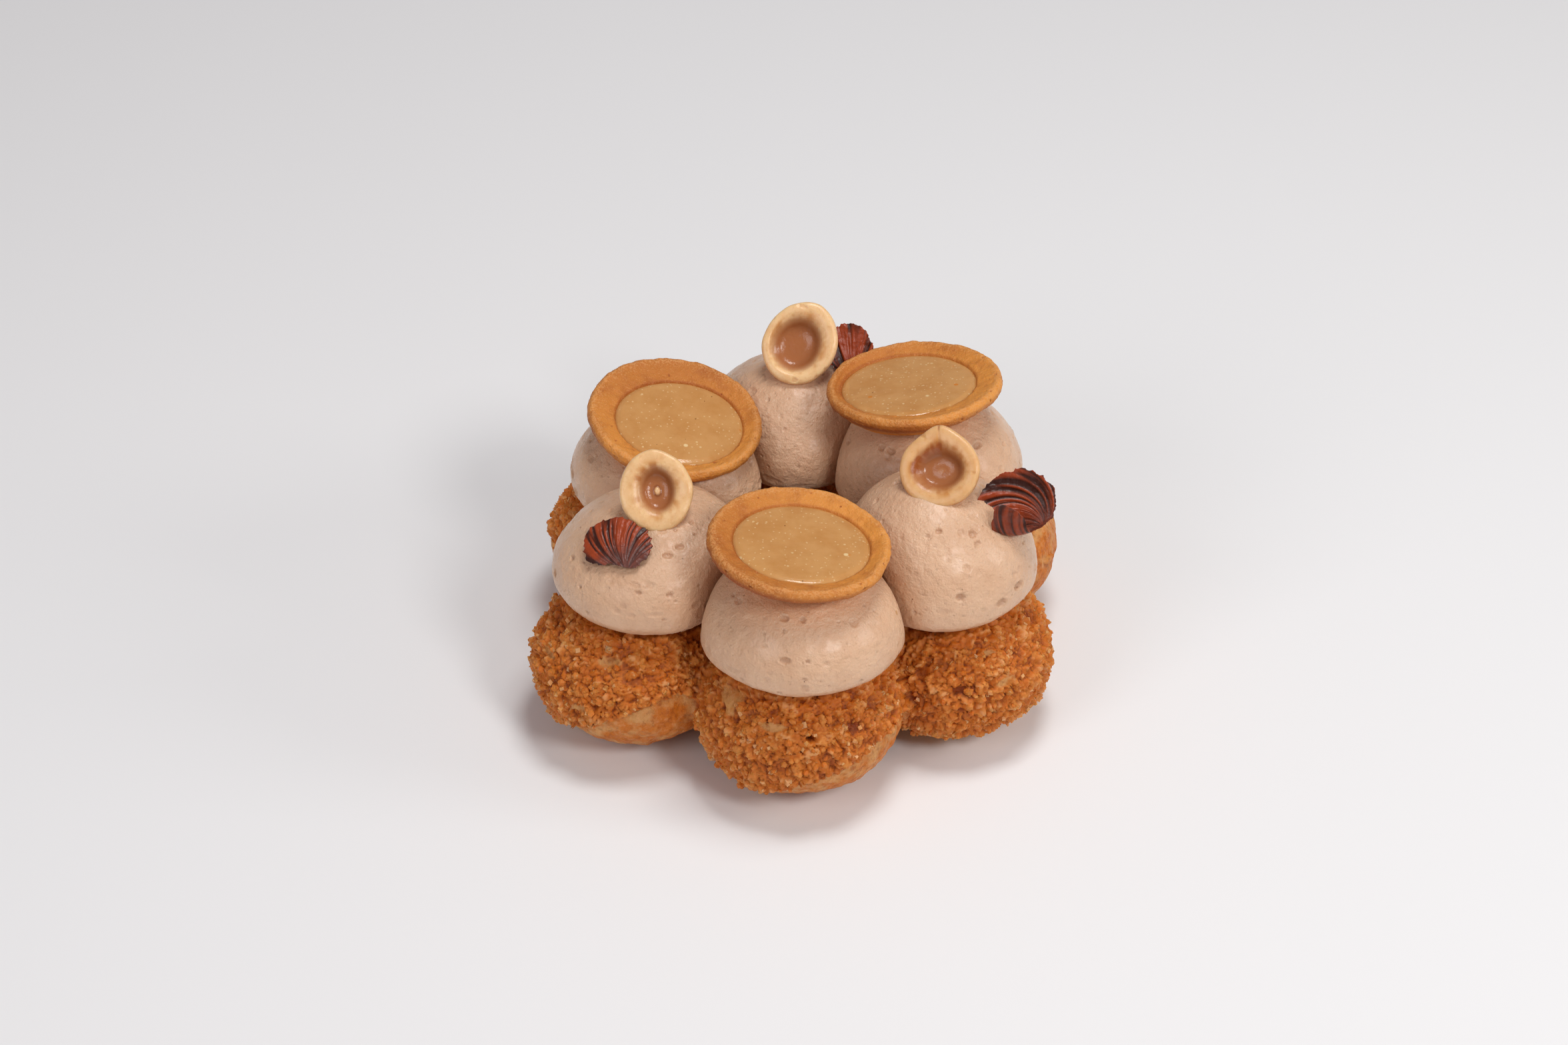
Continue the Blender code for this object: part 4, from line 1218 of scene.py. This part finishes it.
def build_skin(flake, finish):
    """Tears one flake of skin: a thin cupped sheet with stripes that fan from its foot and a torn edge."""
    fan = FANS[flake.name]
    angles = round_angles(SKIN_SEGMENTS)
    edge = torn_outline(flake, fan.tail, angles)
    shares = np.linspace(0.03, 1, SKIN_RINGS)[:, None]
    x, y = shares * edge * np.cos(angles), shares * edge * np.sin(angles)
    across = np.clip(x / (flake.width / 2), -1.1, 1.1)
    down = np.clip(y / (flake.height / 2), -1.1, 1.1)
    sheet = flake.cup * (0.65 * across**2 + 0.35 * down**2)
    sheet += flake.curl * np.maximum(0, -down - 0.1) ** 2
    from_foot = np.hypot(x - fan.foot_x, y - fan.foot_y)
    turn = np.arctan2(y - fan.foot_y, x - fan.foot_x) + fan.twist * from_foot
    streak = np.stack([turn / fan.pitch, from_foot / 8, 0 * x + flake.seed], -1)
    vein = swell(streak, 1.0, 600) + 0.45 * swell(streak * (2.1, 1.6, 1.0), 1.0, 610)
    stripe = np.clip(0.68 + 0.95 * vein, 0, 1)
    sheet += 0.2 * vein * np.clip(from_foot / 4, 0, 1)
    flat = np.stack([x, y, 0 * x + flake.seed], -1)
    sheet += 0.25 * rough(flat, 3.0, 640) + 0.35 * shares**3 * rough(flat, 1.8, 650)
    folded = np.zeros_like(x)
    if fan.fold is not None:
        fold = fan.fold + 0.05 * (x + 1.5) ** 2
        past = np.maximum(fold - y, 0)
        turned = np.minimum(past / FOLD_RADIUS, FOLD_TURN)
        straight = past - FOLD_RADIUS * turned
        folded = step_up(past, 1.5, 3.0)
        y = np.maximum(y, fold) - FOLD_RADIUS * np.sin(turned) - straight * math.cos(FOLD_TURN)
        sheet += FOLD_RADIUS * (1 - np.cos(turned)) + 0.6 * straight * math.sin(FOLD_TURN)
    thick = SKIN_HALF_THICKNESS * (1 - 0.7 * shares**6)
    front = np.stack([x, y, sheet + thick], -1)
    behind = np.stack([x, y, sheet - thick], -1)[::-1]
    rows = np.concatenate([front, behind])
    middle = np.array([x[0].mean(), y[0].mean(), sheet[0].mean()])
    to_face = np.array([0, 0, SKIN_HALF_THICKNESS])
    points, faces = closed_grid(rows, middle + to_face, middle - to_face)
    mesh = mesh_of("skin", points, faces)
    # Painted grey sheen, strongest near the foot and none on the fold
    rubbed = np.clip(1.3 - from_foot / 7, 0, 1) * fan.bloom * (1 - folded)
    # The fold is painted darker: painted shade on the turned-back flap
    stripe = stripe * (1 - 0.35 * folded)
    both = [np.concatenate([layer.ravel(), layer[::-1].ravel(), [0.5, 0.5]]) for layer in (stripe, rubbed)]
    paint(mesh, stripe=both[0], rubbed=both[1])
    mesh.transform(facing(*flake[1:7]))
    return body_of("skin_torn_" + flake.name, mesh, finish, "skin_" + flake.name)


class PASTRY_OT_bake_ring(bpy.types.Operator):
    """Bakes the ring of six choux under its cracked sugar crust"""

    bl_idname = "pastry.bake_ring"
    bl_label = "Bake the ring"

    def execute(self, context):
        choux = context.scene.pastry_choux
        build_ring(choux, craquelin_finish(choux))
        return {"FINISHED"}


class PASTRY_OT_strew_crumbs(bpy.types.Operator):
    """Presses loose crumbs and whole sugar grains into the baked crust"""

    bl_idname = "pastry.strew_crumbs"
    bl_label = "Strew the crumbs"

    def execute(self, context):
        choux = context.scene.pastry_choux
        crust = bpy.data.objects["choux_ring_baked"].data.materials[0]
        strew(CRUMBS, choux.loose_crumbs, crust)
        strew(GRAINS, choux.sugar_grains, sugar_finish(choux))
        return {"FINISHED"}


class PASTRY_OT_pipe_cream(bpy.types.Operator):
    """Pipes a dome of praline cream on each puff"""

    bl_idname = "pastry.pipe_cream"
    bl_label = "Pipe the cream"

    def execute(self, context):
        cream = context.scene.pastry_cream
        finish = cream_finish(cream)
        for seed, dome in enumerate(DOMES, 1):
            build_dome(dome, cream, finish, seed)
        return {"FINISHED"}


class PASTRY_OT_bake_tartlets(bpy.types.Operator):
    """Bakes the three biscuit shells"""

    bl_idname = "pastry.bake_tartlets"
    bl_label = "Bake the tartlets"

    def execute(self, context):
        settings = context.scene.pastry_tartlet
        finish = biscuit_finish(settings)
        for seed, tartlet in enumerate(TARTLETS, 1):
            build_tartlet(tartlet, settings, finish, seed)
        return {"FINISHED"}


class PASTRY_OT_pour_praline(bpy.types.Operator):
    """Fills the shells with praline"""

    bl_idname = "pastry.pour_praline"
    bl_label = "Pour the praline"

    def execute(self, context):
        finish = praline_finish(context.scene.pastry_praline)
        for seed, tartlet in enumerate(TARTLETS, 1):
            build_filling(tartlet, context.scene.pastry_tartlet, finish, seed)
        return {"FINISHED"}


class PASTRY_OT_split_nuts(bpy.types.Operator):
    """Sets half a hazelnut in three of the domes"""

    bl_idname = "pastry.split_nuts"
    bl_label = "Set the hazelnuts"

    def execute(self, context):
        finish = hazelnut_finish(context.scene.pastry_nut)
        for seed, nut in enumerate(NUTS, 1):
            build_nut(nut, finish, seed)
        return {"FINISHED"}


class PASTRY_OT_lay_skins(bpy.types.Operator):
    """Lays a flake of hazelnut skin beside each nut"""

    bl_idname = "pastry.lay_skins"
    bl_label = "Lay the skins"

    def execute(self, context):
        finish = skin_finish(context.scene.pastry_skin)
        for flake in FLAKES:
            build_skin(flake, finish)
        return {"FINISHED"}


def add_light(name, position, size, power, tint):
    """Hangs a round soft lamp that looks at the pastry's middle."""
    lamp = bpy.data.lights.new(name, "AREA")
    lamp.shape = "DISK"
    lamp.size = size
    lamp.energy = power
    lamp.color = tint
    holder = bpy.data.objects.new(name, lamp)
    holder.location = position
    holder.rotation_euler = (Vector(LAMP_AIM) - Vector(position)).to_track_quat("-Z", "Y").to_euler()
    bpy.context.scene.collection.objects.link(holder)


class PASTRY_OT_set_stage(bpy.types.Operator):
    """Lays the floor, hangs the soft lights and stands the camera"""

    bl_idname = "pastry.set_stage"
    bl_label = "Set the stage"

    def execute(self, context):
        stage = context.scene.pastry_stage
        scene = context.scene
        matt = {"Base Color": stage.floor, "Roughness": 0.9, "Specular IOR Level": 0.1}
        finish = new_finish("floor_matt_paint", matt)[0]
        half = FLOOR_HALF_WIDTH
        corners = [(-half, -half, 0), (half, -half, 0), (half, half, 0), (-half, half, 0)]
        sheet = mesh_of("studio_floor", corners, [(0, 1, 2, 3)])
        sheet.materials.append(finish)
        floor = bpy.data.objects.new("studio_floor", sheet)
        scene.collection.objects.link(floor)
        for lamp in LAMPS:
            add_light(*lamp)
        world = bpy.data.worlds.new("studio")
        world.use_nodes = True
        sky = world.node_tree.nodes["Background"]
        feed(world.node_tree, sky, {"Color": WORLD_COLOUR, "Strength": WORLD_STRENGTH})
        scene.world = world
        lens = bpy.data.cameras.new("camera")
        lens.lens, lens.sensor_width = stage.lens, SENSOR_WIDTH
        camera = bpy.data.objects.new("camera", lens)
        target = (Vector(VIEW_MIDDLE) - Vector((BOX_MIDDLE_X, 0, 0))) * MM
        back = Vector((0, -math.cos(stage.elevation), math.sin(stage.elevation)))
        camera.location = target + back * stage.distance
        camera.rotation_euler = (math.pi / 2 - stage.elevation, 0, 0)
        scene.collection.objects.link(camera)
        scene.camera = camera
        scene.view_settings.view_transform = "Standard"
        return {"FINISHED"}


STEPS = [
    PASTRY_OT_set_stage,
    PASTRY_OT_bake_ring,
    PASTRY_OT_strew_crumbs,
    PASTRY_OT_pipe_cream,
    PASTRY_OT_bake_tartlets,
    PASTRY_OT_pour_praline,
    PASTRY_OT_split_nuts,
    PASTRY_OT_lay_skins,
]


class PASTRY_PT_panel(bpy.types.Panel):
    """Lists the steps that build the Paris-Brest"""

    bl_label = "Paris-Brest ring"
    bl_space_type = "VIEW_3D"
    bl_region_type = "UI"
    bl_category = "Pastry"

    def draw(self, context):
        for step in STEPS:
            self.layout.operator(step.bl_idname)


def register():
    for name, group in SETTINGS.items():
        bpy.utils.register_class(group)
        setattr(bpy.types.Scene, "pastry_" + name, bpy.props.PointerProperty(type=group))
    for cls in [*STEPS, PASTRY_PT_panel]:
        bpy.utils.register_class(cls)


def unregister():
    for cls in [PASTRY_PT_panel, *reversed(STEPS)]:
        bpy.utils.unregister_class(cls)
    for name, group in reversed(SETTINGS.items()):
        delattr(bpy.types.Scene, "pastry_" + name)
        bpy.utils.unregister_class(group)


def main():
    """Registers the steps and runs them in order."""
    register()
    for step in STEPS:
        group, name = step.bl_idname.split(".")
        getattr(getattr(bpy.ops, group), name)()


if __name__ == "__main__":
    main()
